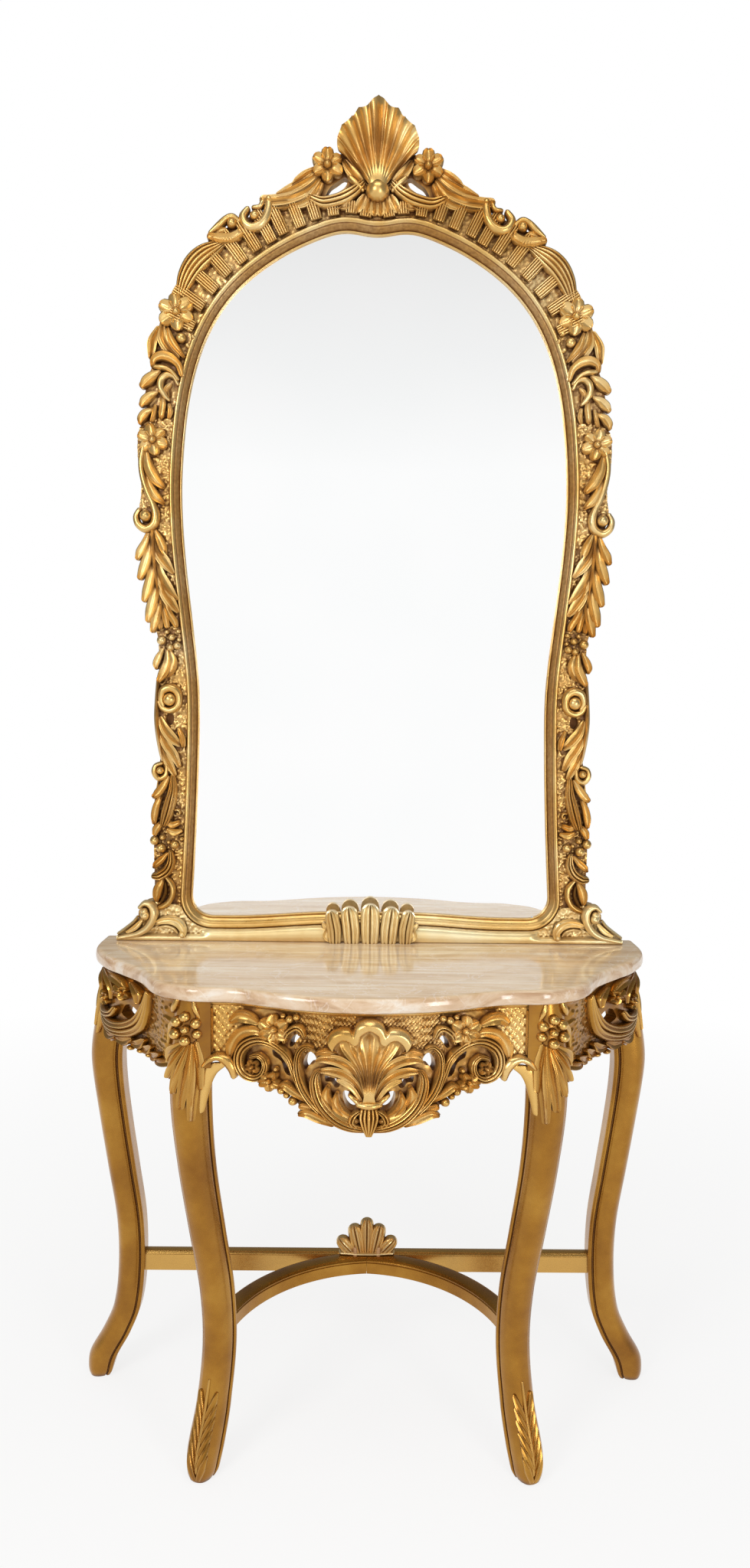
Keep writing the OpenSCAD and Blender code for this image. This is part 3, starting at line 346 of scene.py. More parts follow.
def prism(loops, low, high):  # a flat plate with holes, as thick as from low to high
    bm = bmesh.new()
    for loop in loops:
        verts = [bm.verts.new((p[0], p[1], low)) for p in loop]
        for a, b in zip(verts, verts[1:] + verts[:1]):
            bm.edges.new((a, b))
    bmesh.ops.triangle_fill(bm, use_beauty=True, use_dissolve=False, edges=bm.edges[:])
    made = bmesh.ops.extrude_face_region(bm, geom=bm.faces[:])["geom"]
    bmesh.ops.translate(bm, vec=(0, 0, high - low),
        verts=[g for g in made if isinstance(g, bmesh.types.BMVert)])
    bmesh.ops.recalc_face_normals(bm, faces=bm.faces[:])
    return bm


def asObject(bm, name):
    mesh = bpy.data.meshes.new(name)
    bm.to_mesh(mesh)
    bm.free()
    piece = bpy.data.objects.new(name, mesh)
    bpy.context.scene.collection.objects.link(piece)
    return piece


# A board with a worked ground: a fine slab is cut to its outline, then laid on its face.
# Its tone is umber with painted shade: darker where the ground lies low between the bumps
def board(carving, loops, back, relief, cell=2.4, front=0,
        tone=lambda u, v, h: min(max(0.85 - 0.3 * h, 0.1), 1)):
    us, vs = [p[0] for p in loops[0]], [p[1] for p in loops[0]]
    lowU, highU, lowV, highV = min(us) - 1, max(us) + 1, min(vs) - 1, max(vs) + 1
    across, up = math.ceil((highU - lowU) / cell), math.ceil((highV - lowV) / cell)
    slab = bmesh.new()
    made = bmesh.ops.create_grid(slab, x_segments=across, y_segments=up, size=0.5)["verts"]
    for vert in made:
        u, v = lowU + (vert.co.x + 0.5) * (highU - lowU), lowV + (vert.co.y + 0.5) * (highV - lowV)
        vert.co = Vector((u, v, front + relief(u, v)))
    bottom = bmesh.ops.extrude_face_region(slab, geom=slab.faces[:])["geom"]
    for vert in bottom:
        if isinstance(vert, bmesh.types.BMVert):
            vert.co.z = back
    bmesh.ops.recalc_face_normals(slab, faces=slab.faces[:])
    slabPiece = asObject(slab, "slab")
    cutter = asObject(prism(loops, back - 5, front + 30), "cutter")
    trim = slabPiece.modifiers.new("trim", "BOOLEAN")
    trim.operation, trim.solver, trim.object = "INTERSECT", "EXACT", cutter
    bpy.context.view_layer.update()
    cut = bpy.data.meshes.new_from_object(slabPiece.evaluated_get(bpy.context.evaluated_depsgraph_get()))
    for piece in (slabPiece, cutter):
        bpy.data.objects.remove(piece)
    bm, patina, place = carving["bm"], carving["patina"], carving["place"]
    there = len(bm.verts)
    bm.from_mesh(cut)
    bm.verts.ensure_lookup_table()
    made = bm.verts[there:]
    bmesh.ops.remove_doubles(bm, verts=made, dist=0.005)
    made = [v for v in made if v.is_valid]
    for vert in made:
        u, v, h = vert.co
        vert[patina] = tone(u, v, h - front)
        vert.co = place(u, v, h)
    bmesh.ops.recalc_face_normals(bm, faces=list(dict.fromkeys(f for v in made for f in v.link_faces)))


def pebbles(size, height, seed=0):  # a punched ground of small round bumps
    def relief(u, v):
        near = noise.voronoi(Vector((u / size, v / size, seed)), distance_metric="DISTANCE", exponent=2.5)[0][0]
        return height * (1 - min(near / 0.62, 1) ** 2)
    return relief


def lattice(u, v, pitch, height):  # small raised diamonds with grooves between
    a, b = (u + 0.8 * v) / pitch, (u - 0.8 * v) / pitch
    return height * (abs(math.sin(math.pi * a)) * abs(math.sin(math.pi * b))) ** 0.33


def net(u, v, pitch, height):  # thin raised lines that cross over a sunk ground
    a, b = abs(math.sin(math.pi * (u + 0.9 * v) / pitch)), abs(math.sin(math.pi * (u - 0.9 * v) / pitch))
    return height * max(1 - 1.9 * a, 0.7 - 1.6 * b, 0)


def finishPiece(name, carving, material, nodes, angle=55):
    bm = carving["bm"]
    bmesh.ops.dissolve_degenerate(bm, dist=0.001, edges=bm.edges[:])
    bmesh.ops.scale(bm, vec=(0.001, 0.001, 0.001), verts=bm.verts[:])
    piece = asObject(bm, name)
    for face in piece.data.polygons:
        face.use_smooth = True
    piece.data.set_sharp_from_angle(angle=math.radians(angle))
    piece.data.materials.append(material)
    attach(piece, "root")
    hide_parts(*nodes)
    return piece


# Colours and materials
def colour(code):  # sRGB hex to linear
    parts = [int(code[k:k + 2], 16) / 255 for k in (1, 3, 5)]
    return tuple(c / 12.92 if c <= 0.04045 else ((c + 0.055) / 1.055) ** 2.4 for c in parts) + (1,)


def adder(tree):  # gives a function that adds a node, sets or links its inputs, and returns one output
    def add(kind, values=None, out=0):
        node = tree.nodes.new("ShaderNode" + kind)
        for name, value in (values or {}).items():
            if isinstance(value, bpy.types.NodeSocket):
                tree.links.new(value, node.inputs[name])
            elif name == "stops":
                ramp = node.color_ramp.elements
                while len(ramp) < len(value):
                    ramp.new(0.5)
                for stop, (position, code) in zip(ramp, value):
                    stop.position, stop.color = position, colour(code)
            elif isinstance(name, str) and hasattr(node, name):
                setattr(node, name, value)
            else:
                node.inputs[name].default_value = colour(value) if isinstance(value, str) else value
        return node.outputs[out] if len(node.outputs) else None
    return add


def noiseIn(coords, scale, detail, roughness=0.5, distortion=0):
    return {"Vector": coords, "Scale": scale, "Detail": detail, "Roughness": roughness,
        "Distortion": distortion}


def span(source, low, high, start, end):
    return {"Value": source, "From Min": low, "From Max": high, "To Min": start, "To Max": end}


def blend(share, first, second):
    return {"data_type": "RGBA", 0: share, 6: first, 7: second}


def maths(operation, *terms):
    return {"operation": operation, **dict(enumerate(terms))}


def newMaterial(name):
    material = bpy.data.materials.new(name)
    material.use_nodes = True
    material.node_tree.nodes.clear()
    add = adder(material.node_tree)
    return material, add, add("TexCoord", out="Object")


def shaded(material, add, values):
    add("OutputMaterial", {"Surface": add("BsdfPrincipled", values)})
    return material


# Gold leaf or gold paint over carved wood, with painted light in its colour: umber and painted shade in the
# hollows, brown lines of umber and painted shade in the flutes and round the leaves, a soft metallic gleam and
# a pale painted highlight on the high parts
def giltMaterial(name, tones):
    material, add, coords = newMaterial(name)
    cloudy = add("TexNoise", noiseIn(coords, 9, 4, 0.6))
    brushed = add("TexNoise", noiseIn(coords, 170, 3, 0.6))
    grains = add("TexNoise", noiseIn(coords, 900, 2))
    held = add("Attribute", {"attribute_name": "patina"}, "Fac")
    # Painted shade: points closed in by nearby surfaces are darkened, as recesses are by shade
    openness = add("AmbientOcclusion", {"Distance": tones["reach"], "samples": 6}, "AO")
    hollow = add("MapRange", span(openness, 0.1, 0.85, 1, 0))
    both = add("Math", maths("MULTIPLY_ADD", held, tones["lines"], hollow))
    rough = add("Math", maths("MULTIPLY_ADD", brushed, tones["brush"], -0.5 * tones["brush"]))
    darkShareWithShade = add("MapRange", {"interpolation_type": "SMOOTHSTEP",
        **span(add("Math", maths("ADD", both, rough)), 0.22, 1.25, 0, 1)})
    leaf = add("ValToRGB", {"Fac": cloudy, "stops": list(zip((0.3, 0.5, 0.72), tones["leaf"]))})
    # Painted highlight: where the carving's dark share is below zero, the leaf turns to the pale highlight
    # colour
    paintedHighlight = add("MapRange", span(held, -0.8, 0, 1, 0))
    bright = add("Mix", blend(paintedHighlight, leaf, tones["high"]), 2)
    umberAndShade = add("ValToRGB", {"Fac": darkShareWithShade, "stops": [(0, tones["glazeAndShade"]), (0.55, tones["glazeAndShade"]),
        (1, tones["umberAndShade"])]})
    mixed = add("Mix", blend(darkShareWithShade, bright, umberAndShade), 2)
    metal = add("MapRange", span(darkShareWithShade, 0, 1, tones["metal"], 0.5))
    sheen = add("Math", maths("MULTIPLY_ADD", brushed, 0.16, tones["rough"] - 0.08))
    dull = add("Math", maths("MULTIPLY_ADD", darkShareWithShade, 0.2, sheen))
    soft = add("Bump", {"Strength": 0.4 * tones["brush"], "Distance": 0.0005, "Height": brushed})
    fine = add("Bump", {"Strength": 0.24 * tones["brush"], "Distance": 0.0002, "Height": grains,
        "Normal": soft})
    return shaded(material, add, {"Coat Weight": tones["coat"], "Coat Roughness": 0.2, "Base Color": mixed,
        "Metallic": metal, "Roughness": dull, "Normal": fine})


goldLeaf = giltMaterial("goldLeafOverGesso", {"leaf": ("#C99A4C", "#DCB56E", "#EDD39C"), "high": "#F2DCAC",
    "glazeAndShade": "#9A6420", "umberAndShade": "#653A0E", "reach": 0.011, "lines": 0.8, "metal": 0.84, "rough": 0.3,
    "coat": 0.12, "brush": 0.5})
# A paler copy of the gold leaf for the base rail and base shell, painted lighter because the base takes strong
# light from above and from the marble
paleLitGoldLeaf = giltMaterial("goldLeafWithPaintedLight", {"leaf": ("#E9CA8C", "#F5DFA8", "#FBEFC8"), "high": "#FCF2D2",
    "glazeAndShade": "#BC9048", "umberAndShade": "#744A18", "reach": 0.005, "lines": 0.8, "metal": 0.7, "rough": 0.36,
    "coat": 0.15, "brush": 0.35})
# Two copies of the table's gilt: the front apron's is painted lighter, and the legs', side aprons' and
# stretchers' darker, partly an antiqued paint and partly painted light and shade
glazedGold = giltMaterial("glazedGoldPaint", {"leaf": ("#C08E3E", "#D8AA5C", "#EBC988"), "high": "#F2D69C",
    "glazeAndShade": "#A06C22", "umberAndShade": "#6A3E10", "reach": 0.011, "lines": 0.8, "metal": 0.8, "rough": 0.28,
    "coat": 0.2, "brush": 0.45})
goldPaint = giltMaterial("antiquedGoldPaintWithPaintedShade", {"leaf": ("#8E5C18", "#A67222", "#BC8A34"), "high": "#E8BC6C",
    "glazeAndShade": "#7A4A14", "umberAndShade": "#56320C", "reach": 0.012, "lines": 0.6, "metal": 0.88, "rough": 0.27,
    "coat": 0.25, "brush": 0.15})


# Polished cream marble: fine level streaks, beige and pinkish clouds, a few pale veins
marbleLook = {"streaks": (4, 60, 26), "clouds": (9, 16, 22), "nose": (0.796, 0.7998), "polish": 0.12,
    "ground": [(0.3, "#C9A677"), (0.46, "#DEC198"), (0.6, "#E8D4B2"), (0.75, "#F1E6D2")],
    "blush": [(0.36, "#AC835F"), (0.47, "#CFAF8F"), (0.56, "#DCC6AE"), (0.66, "#E4DBD0")],
    "vein": (0.6, "#F4EEE4"), "speck": (0.25, "#B99A7C")}


def marbleMaterial(look):
    material, add, coords = newMaterial("polishedCreamMarble")
    bed = add("Mapping", {"Scale": look["streaks"], "Vector": coords})
    streaks = add("TexNoise", noiseIn(bed, 1, 6, 0.62, 0.6))
    cloud = add("Mapping", {"Scale": look["clouds"], "Vector": coords})
    clouds = add("TexNoise", noiseIn(cloud, 1, 5, 0.6, 1.2))
    grains = add("TexNoise", noiseIn(coords, 220, 2))
    veins = add("TexNoise", noiseIn(coords, 7, 5, 0.55, 2.2))
    ground = add("ValToRGB", {"Fac": streaks, "stops": look["ground"]})
    blush = add("ValToRGB", {"Fac": clouds, "stops": look["blush"]})
    # the sawn top shows its bed as streaks, the polished edge cuts across it and shows clouds
    edge = add("MapRange", span(add("SeparateXYZ", {0: coords}, "Z"), *look["nose"], 0.85, 0.25))
    both = add("Mix", blend(edge, ground, blush), 2)
    band = add("Math", maths("PINGPONG", add("MapRange", span(veins, 0.49, 0.515, 0, 1)), 0.5))
    (pale, veinTone), (dim, speckTone) = look["vein"], look["speck"]
    veined = add("Mix", blend(add("Math", maths("MULTIPLY", band, pale)), both, veinTone), 2)
    speck = add("MapRange", span(grains, 0.58, 0.75, 0, dim))
    dotted = add("Mix", blend(speck, veined, speckTone), 2)
    return shaded(material, add, {"Roughness": look["polish"], "IOR": 1.58, "Base Color": dotted})


# Silvered glass: a clear cold reflection with a trace of grey
def mirrorMaterial():
    material, add, coords = newMaterial("silveredGlass")
    haze = add("TexNoise", noiseIn(coords, 3, 2))
    tone = add("ValToRGB", {"Fac": haze, "stops": [(0.3, "#FAFBFB"), (0.7, "#FDFDFD")]})
    return shaded(material, add, {"Metallic": 1, "Roughness": 0.015, "Base Color": tone})


# Planed beech: straight grain with short dark flecks, dull
def woodMaterial(name, axis, tones):
    material, add, coords = newMaterial(name)
    wide, tight = [70] * 3, [420] * 3
    wide[axis], tight[axis] = 3.5, 40
    grain = add("TexNoise", noiseIn(add("Mapping", {"Scale": wide, "Vector": coords}), 1, 5, 0.5, 0.8))
    fleck = add("TexNoise", noiseIn(add("Mapping", {"Scale": tight, "Vector": coords}), 1, 1))
    tone = add("ValToRGB", {"Fac": grain, "stops": list(zip((0.32, 0.52, 0.7), tones))})
    dark = add("MapRange", span(fleck, 0.6, 0.72, 0, 0.4))
    mixed = add("Mix", blend(dark, tone, "#7A5330"), 2)
    bump = add("Bump", {"Strength": 0.3, "Distance": 0.0004, "Height": grain})
    return shaded(material, add, {"Roughness": 0.62, "Base Color": mixed, "Normal": bump})


# Zinc plated steel: a cool satin metal with faint cloudy spangle
def steelMaterial():
    material, add, coords = newMaterial("zincPlatedSteel")
    spangle = add("TexVoronoi", {"Scale": 700, "Vector": coords}, "Distance")
    tone = add("Mix", blend(spangle, "#A9ABAC", "#C3C5C4"), 2)
    return shaded(material, add, {"Metallic": 1, "Roughness": 0.34, "Base Color": tone})


marbleFinish = marbleMaterial(marbleLook)
silverFinish = mirrorMaterial()
beechUp = woodMaterial("planedBeechUpright", 2, ("#A87B4E", "#BE9162", "#CBA273"))
beechAcross = woodMaterial("planedBeechAcross", 0, ("#A57A50", "#BB8F62", "#C9A176"))
steelFinish = steelMaterial()
print("materials made")


# Marble top: the serpentine plan swept round with a full rounded nose
marbleTop = {"lip": 14,
    "edge": [(3.2, 0), (1.3, 0.06), (0.35, 0.2), (0, 0.4), (0.3, 0.6), (1.4, 0.78), (3.2, 0.91),
    (5.8, 0.98), (9, 1)]}


def shiftedPath(path, distance, closed=False):
    moved = []
    n = len(path)
    for i, p in enumerate(path):
        a, b = (path[i - 1], path[(i + 1) % n]) if closed else (path[max(i - 1, 0)], path[min(i + 1, n - 1)])
        t = Vector((b[0] - a[0], b[1] - a[1])).normalized()
        moved.append((p[0] + distance * t.y, p[1] - distance * t.x))
    return moved


def makeMarble():
    carving = newCarving(lambda u, v, h: Vector((u, v, h)))
    path = [(-x, y) for x, y in planRight] + list(reversed(planRight[:-1]))
    edge = smoothCurve(marbleTop["edge"], 2)
    rings = [shiftedPath(path, marbleTop["lip"] - e[0]) for e in edge]

    def shape(i, j):
        u, v = rings[j][i % len(path)]
        return u, v, plan["frameTop"] + (plan["tableTop"] - plan["frameTop"]) * edge[j][1], 0

    drape(carving, len(path), len(edge) - 1, shape)
    return finishPiece("marbleSlab", carving, marbleFinish, ["marble_top"], 40)


makeMarble()
print("marble top made")


# Mirror: outlines of the glass in view and of the frame
def lowAt(u):  # the glass's low edge, which bows up a little behind the shell
    return glass["low"] + glass["rise"] * (1 - smoothStep(60, 240, abs(u)))


def sightLine(fine=6):
    r = glass["corner"]
    foot = glass["foot"] * glass["half"] - r
    corner = [(foot + r * math.sin(math.radians(a)), glass["low"] + r - r * math.cos(math.radians(a)))
        for a in range(0, 91, 9)]
    sides = smoothCurve([corner[-1]] + [(a * glass["half"], glass["low"] + b * glass["height"])
        for a, b in glass["shares"]], fine)
    straight = [(foot * k / 16, lowAt(foot * k / 16)) for k in range(1, 16)]
    right = straight + corner + sides[1:]
    top = glass["low"] + glass["dip"] * glass["height"]
    right = right + [(0.5 * right[-1][0], 0.5 * (right[-1][1] + top) + 0.6)]
    path = [(0, lowAt(0))] + right + [(0, top)] + [(-x, y) for x, y in reversed(right)]
    for k in range(3):
        path = relaxed(path, 140)
    n = len(path)
    moved = []
    for i, p in enumerate(path):
        a, b = path[i - 2], path[(i + 2) % n]
        t = Vector((b[0] - a[0], b[1] - a[1])).normalized()
        grow = glass["shoulder"] * smoothStep(560, 1080, p[1])
        moved.append((p[0] + grow * t.y, p[1] - grow * t.x))
    return moved


def relaxed(path, above):  # rounds the small kinks of a closed line above a height
    n = len(path)
    return [p if p[1] < above else tuple(
        (path[i - 2][k] + 2 * path[i - 1][k] + 2 * p[k] + 2 * path[(i + 1) % n][k]
        + path[(i + 2) % n][k]) / 8 for k in (0, 1)) for i, p in enumerate(path)]


sight = sightLine()
sightMoulding = {"front": 174, "outer": 19,
    "dark": [(2.4, 5, 1.2), (5, 11, 1.1), (11, 12.6, 1.2), (19, 21, 1.1)],
    "section": [(8, 0), (0.3, 0), (0, 0.5), (0, 3.8), (0.5, 5.2), (1.4, 5.8), (2.3, 5.4), (2.9, 4.6),
        (3.5, 5.2), (4.4, 7), (5.6, 9.4), (7.2, 12.2), (9, 14.6), (10.4, 15.6), (11.4, 15.2), (12, 15.6),
        (12.6, 18), (13.6, 20.4), (15, 21.7), (16.4, 21.8), (17.8, 20.8), (19, 18.8), (19.9, 16), (20.2, 13),
        (20.2, -3.9), (8, -3.9)]}


def makeSightMoulding():
    carving = newCarving(lambda u, v, h: Vector((u, sightMoulding["front"] - h, plan["tableTop"] + v)))
    section = sightMoulding["section"]
    rings = [shiftedPath(sight, a, True) for a, b in section]

    def shape(i, j):
        j = j % len(section)
        u, v = rings[j][i % len(sight)]
        a, b = section[j]
        # The dark bands are umber with painted shade in the quirks, on the inner slope of the torus and down
        # its outer edge; they weaken towards the bottom run, which is painted lighter
        dark = next((tone for low, high, tone in sightMoulding["dark"] if low < a < high), 0)
        return u, v, b, dark * (0.3 + 0.7 * smoothStep(45, 90, v))

    drape(carving, len(sight), len(section), shape, False)
    return finishPiece("sightMouldingRun", carving, goldLeaf, ["sight_moulding"], 60)


makeSightMoulding()

glassPane = {"under": 7, "front": 178.4, "thick": 4.4, "bevel": 0.8}


def makeGlass():
    outline = shiftedPath(sight, glassPane["under"], True)
    bm = prism([outline], 0, glassPane["thick"])
    rim = [e for e in bm.edges if len(e.link_faces) == 2 and e.calc_face_angle() > 1]
    bmesh.ops.bevel(bm, geom=rim, offset=glassPane["bevel"], segments=2, profile=0.5, affect="EDGES",
        material=-1)
    for vert in bm.verts:
        u, v, h = vert.co
        vert.co = (u, glassPane["front"] - h, plan["tableTop"] + v)
    bmesh.ops.recalc_face_normals(bm, faces=bm.faces[:])
    return finishPiece("mirrorPane", {"bm": bm}, silverFinish, ["mirror_glass"], 20)


makeGlass()
outerRight = smoothCurve([(a * mirror["half"], b * mirror["archTop"]) for a, b in mirror["shares"]], 3)
innerRing = shiftedPath(sight, sightMoulding["outer"], True)
innerRight = innerRing[1:len(sight) // 2 + 1]
# The frame's boards: back, how far the punched ground lies behind the front plane, and the stiles' pierced eye
frameBoard = {"back": -24, "ground": -5, "eye": (347, 385), "eyeSize": (7.5, 10.5)}


def innerAt(v):  # outer edge of the moulding at a height on the stile
    near = [p for p in innerRight if p[1] > 60]
    near = near[:next((k for k, p in enumerate(near) if p[1] > 950), len(near))]
    return between(v, [p[1] for p in near], [p[0] for p in near])


def outerAt(v):
    part = [p for p in outerRight if p[1] < 960]
    return between(v, [p[1] for p in part], [p[0] for p in part])


# Carving of a stile, drawn on the right: distance from the middle, height above the marble, half width
stileCarving = [
    # small leaves that hang over the rose
    ("scoop", 1, 11, (0.5, 1.1), (364, 928, 3), (374, 922, 7), (383, 914, 8), (388, 908, 5)),
    ("scoop", 1, 11, (0.5, 1.1), (372, 900, 3), (382, 894, 7), (389, 885, 7), (391, 879, 4)),
    ("scoop", 1, 10, (0.5, 1.1), (354, 926, 3), (353, 910, 5), (355, 894, 5.5), (357, 888, 3)),
    ("scoop", 1, 9, (0.5, 1), (343, 908, 3), (341, 897, 4), (343, 888, 3)),
    ("scoop", 1, 9, (0.5, 1), (366, 906, 3), (368, 893, 4), (372, 882, 3)),
    ("flower", 371, 851, 26, 6, 20, 13),
    # stem on the outer edge that curls under a knob, with two hooked leaves
    ("round", 1, 11, (0.8, 0.9), (387, 838, 4), (391, 815, 4.5), (388, 790, 5), (380, 765, 5.5), (371, 745, 6),
        (367, 727, 7), (371, 712, 7), (384, 705, 7), (396, 712, 6), (400, 725, 5), (395, 736, 4)),
    ("bead", 384, 726, 10.5, 17),
    ("scoop", 1, 13, (0.5, 1.2), (382, 832, 4), (378, 808, 8), (368, 788, 9), (357, 776, 6)),
    ("scoop", 1, 12, (0.5, 1.2), (383, 798, 4), (376, 775, 7), (366, 758, 8), (355, 748, 4)),
    # long acanthus spray
    ("ridge", 1, 14, (0.8, 0.7), (374, 702, 4), (371, 660, 5), (367, 620, 4.5), (361, 582, 3)),
    ("scoop", 1, 12, (0.5, 1.15), (368, 702, 3), (361, 688, 6), (355, 674, 7), (352, 664, 4)),
    ("flute", 2, 13, (0.5, 1.15), (370, 694, 4), (365, 670, 8), (352, 650, 9.5), (340, 634, 4)),
    ("scoop", 1, 12, (0.5, 1.15), (379, 702, 3), (384, 684, 6), (392, 667, 8), (397, 657, 5)),
    ("scoop", 1, 12, (0.5, 1.15), (376, 688, 4), (380, 662, 8), (387, 639, 9), (393, 625, 6)),
    ("scoop", 1, 12, (0.5, 1.15), (372, 656, 4), (375, 628, 8), (381, 603, 9), (386, 588, 6)),
    ("scoop", 1, 12, (0.5, 1.15), (368, 622, 4), (370, 596, 8), (376, 570, 9), (380, 554, 6)),
    ("scoop", 1, 12, (0.5, 1.15), (362, 590, 4), (364, 570, 7), (369, 550, 8), (373, 536, 5)),
    ("flute", 2, 13, (0.5, 1.15), (368, 660, 4), (361, 630, 9), (348, 606, 10), (334, 590, 4)),
    ("flute", 2, 12, (0.5, 1.15), (362, 626, 4), (354, 600, 8), (342, 582, 9), (332, 569, 4)),
    ("scoop", 1, 11, (0.5, 1), (356, 588, 3), (346, 566, 6), (337, 551, 6), (334, 544, 4)),
    ("scoop", 1, 11, (0.5, 1), (358, 580, 3), (352, 560, 6), (349, 544, 5)),
    ("scoop", 1, 11, (0.5, 1), (361, 574, 3), (359, 556, 5), (360, 541, 4)),
    # berries and three leaves
    ("bead", 344, 507, 6.5, 12), ("bead", 333, 510, 7, 11), ("bead", 359, 519, 8.5, 11),
    ("bead", 342, 524, 6.5, 9),
    ("bead", 331, 534, 4.5, 7), ("bead", 350, 533, 4.5, 7), ("bead", 330, 520, 4, 6),
    ("scoop", 1, 11, (0.5, 1.1), (344, 500, 3), (339, 484, 6), (344, 468, 7), (354, 457, 4)),
    ("scoop", 1, 12, (0.5, 1.1), (350, 500, 3), (350, 480, 7), (357, 462, 8), (363, 452, 5)),
    ("scoop", 1, 11, (0.5, 1.1), (358, 503, 3), (364, 490, 6), (368, 479, 6), (368, 472, 3)),
    # the ring with its boss, over the pierced eye
    ("round", 1, 13, (0.9, 0.8), (357, 409, 4), (361, 420, 5.5), (357, 434, 7), (345, 439, 7.5), (334, 433, 7),
        (330, 420, 6), (334, 406, 6), (346, 400, 6), (358, 404, 5), (364, 414, 4)),
    ("bead", 346, 419, 12.5, 14),
    # leaves that sweep down from the outer stem
    ("ridge", 1, 10, (0.8, 0.8), (366, 455, 2.5), (368, 420, 3.5), (369, 385, 4), (365, 350, 4.5),
        (359, 318, 4), (354, 302, 3)),
    ("flute", 2, 13, (0.5, 1.1), (362, 386, 4), (354, 368, 8), (342, 353, 9), (331, 343, 5)),
    ("scoop", 1, 11, (0.5, 1.1), (331, 368, 3), (325, 354, 5), (323, 341, 4)),
    ("flute", 2, 13, (0.5, 1.1), (364, 370, 4), (353, 344, 8), (340, 325, 8), (331, 306, 4)),
    ("flute", 2, 12, (0.5, 1), (363, 346, 4), (354, 322, 7), (345, 304, 7), (339, 291, 4)),
    ("round", 1, 11, (0.8, 0.9), (352, 304, 3.5), (354, 289, 4.5), (365, 283, 5), (373, 293, 5), (371, 305, 4),
        (361, 309, 3.5)),
    ("bead", 363, 297, 7.5, 14),
    # big ribbed leaf
    ("reed", 4, 14, (0.6, 0.9), (342, 288, 4), (342, 264, 8), (347, 240, 10.5), (352, 222, 11), (357, 207, 8)),
    ("scoop", 1, 12, (0.5, 1.2), (350, 284, 4), (358, 270, 7), (367, 258, 7.5), (373, 253, 5)),
    ("scoop", 1, 11, (0.5, 1.1), (362, 254, 3), (369, 238, 6), (373, 220, 6.5), (374, 207, 4)),
    ("volute", 334, 223, 9, 60, 300, 5, 9),
    ("scoop", 1, 11, (0.5, 1.1), (352, 210, 4), (344, 203, 6), (334, 206, 5)),
    # berries
    ("bead", 360, 181, 6, 12), ("bead", 374, 175, 8.5, 12), ("bead", 363, 162, 9, 12),
    ("bead", 340, 168, 8, 10),
    ("scoop", 1, 10, (0.6, 1), (330, 192, 4), (340, 190, 7), (350, 194, 4)),
    ("scoop", 1, 11, (0.6, 1), (364, 204, 5), (370, 196, 7), (373, 188, 5)),
    ("bead", 328, 178, 4, 6), ("bead", 350, 172, 4, 6),
    # two crescents on the foot
    ("reed", 3, 14, (0.6, 1), (347, 155, 4), (346, 138, 7.5), (353, 123, 9), (366, 114, 9), (373, 113, 7)),
    ("scoop", 1, 12, (0.5, 1.1), (353, 152, 3), (362, 142, 6), (371, 134, 6), (375, 129, 3)),
    ("round", 1, 12, (0.8, 0.8), (354, 110, 3), (345, 98, 4.5), (343, 84, 5), (349, 69, 5), (360, 60, 5),
        (373, 55, 4)),
    ("scoop", 1, 12, (0.6, 0.9), (361, 106, 4), (368, 92, 8), (371, 78, 7), (371, 69, 3)),
    ("ridge", 1, 9, (0.6, 0.8), (357, 100, 2), (356, 84, 3), (362, 70, 3), (368, 62, 2))]

archCarving = [
    ("scoop", 1, 12, (0.5, 1.15), (360, 961, 4), (369, 954, 8), (379, 946, 9), (386, 939, 6)),
    # C scroll with a curled lip, over a hooded scroll
    ("scoop", 1, 14, (0.8, 1), (322, 957, 4), (327, 972, 6), (340, 983, 8), (355, 986, 8), (367, 980, 6),
        (369, 970, 4)),
    ("round", 1, 14, (0.8, 0.9), (365, 969, 4), (351, 967, 5), (338, 961, 4), (329, 950, 3.5)),
    ("round", 1, 12, (0.8, 0.9), (329, 942, 3), (335, 953, 4), (346, 956, 5.5), (355, 949, 6), (357, 936, 6),
        (350, 923, 5), (344, 916, 3)),
    ("scoop", 1, 9, (0.6, 0.9), (341, 941, 3), (347, 934, 4), (346, 923, 3)),
    # ribs that sweep down from the rose
    ("flute", 2, 13, (0.6, 1), (360, 1030, 5), (369, 1010, 8), (371, 996, 7), (373, 985, 4)),
    ("flute", 2, 13, (0.6, 1), (354, 1034, 5), (352, 1014, 9), (343, 998, 8), (329, 985, 4)),
    ("scoop", 1, 12, (0.6, 1), (344, 1030, 3), (337, 1010, 6), (327, 996, 5), (319, 986, 3)),
    ("bead", 323, 1016, 9, 10), ("bead", 309, 1030, 5, 8), ("bead", 312, 1004, 4.5, 7),
    ("bead", 303, 1018, 4, 7),
    ("flower", 330, 1057, 31, 6, 25, 14),
    ("reed", 5, 16, (0.7, 0.8), (256, 1165, 7), (278, 1152, 16), (298, 1135, 18), (313, 1112, 15),
        (322, 1088, 9)),
    # cup of leaves round a knob
    ("bead", 238, 1198, 9, 15),
    ("scoop", 1, 14, (0.6, 1), (220, 1198, 5), (224, 1183, 7), (238, 1174, 8), (256, 1173, 8), (273, 1176, 6)),
    ("round", 1, 13, (0.7, 0.8), (227, 1202, 4), (237, 1208, 5.5), (248, 1204, 5.5), (260, 1193, 6),
        (273, 1183, 4)),
    ("scoop", 1, 10, (0.6, 1), (250, 1188, 4), (259, 1184, 6), (270, 1179, 4)),
    # volute
    ("bead", 201, 1210, 8.5, 15),
    ("round", 1, 15, (0.8, 0.8), (178, 1236, 6), (178, 1222, 7.5), (182, 1207, 8), (192, 1195, 8.5),
        (206, 1191, 8), (217, 1198, 7), (220, 1209, 6.5), (213, 1220, 5)),
    ("round", 1, 12, (0.7, 0.8), (186, 1236, 4), (192, 1224, 4.5), (202, 1223, 4))]

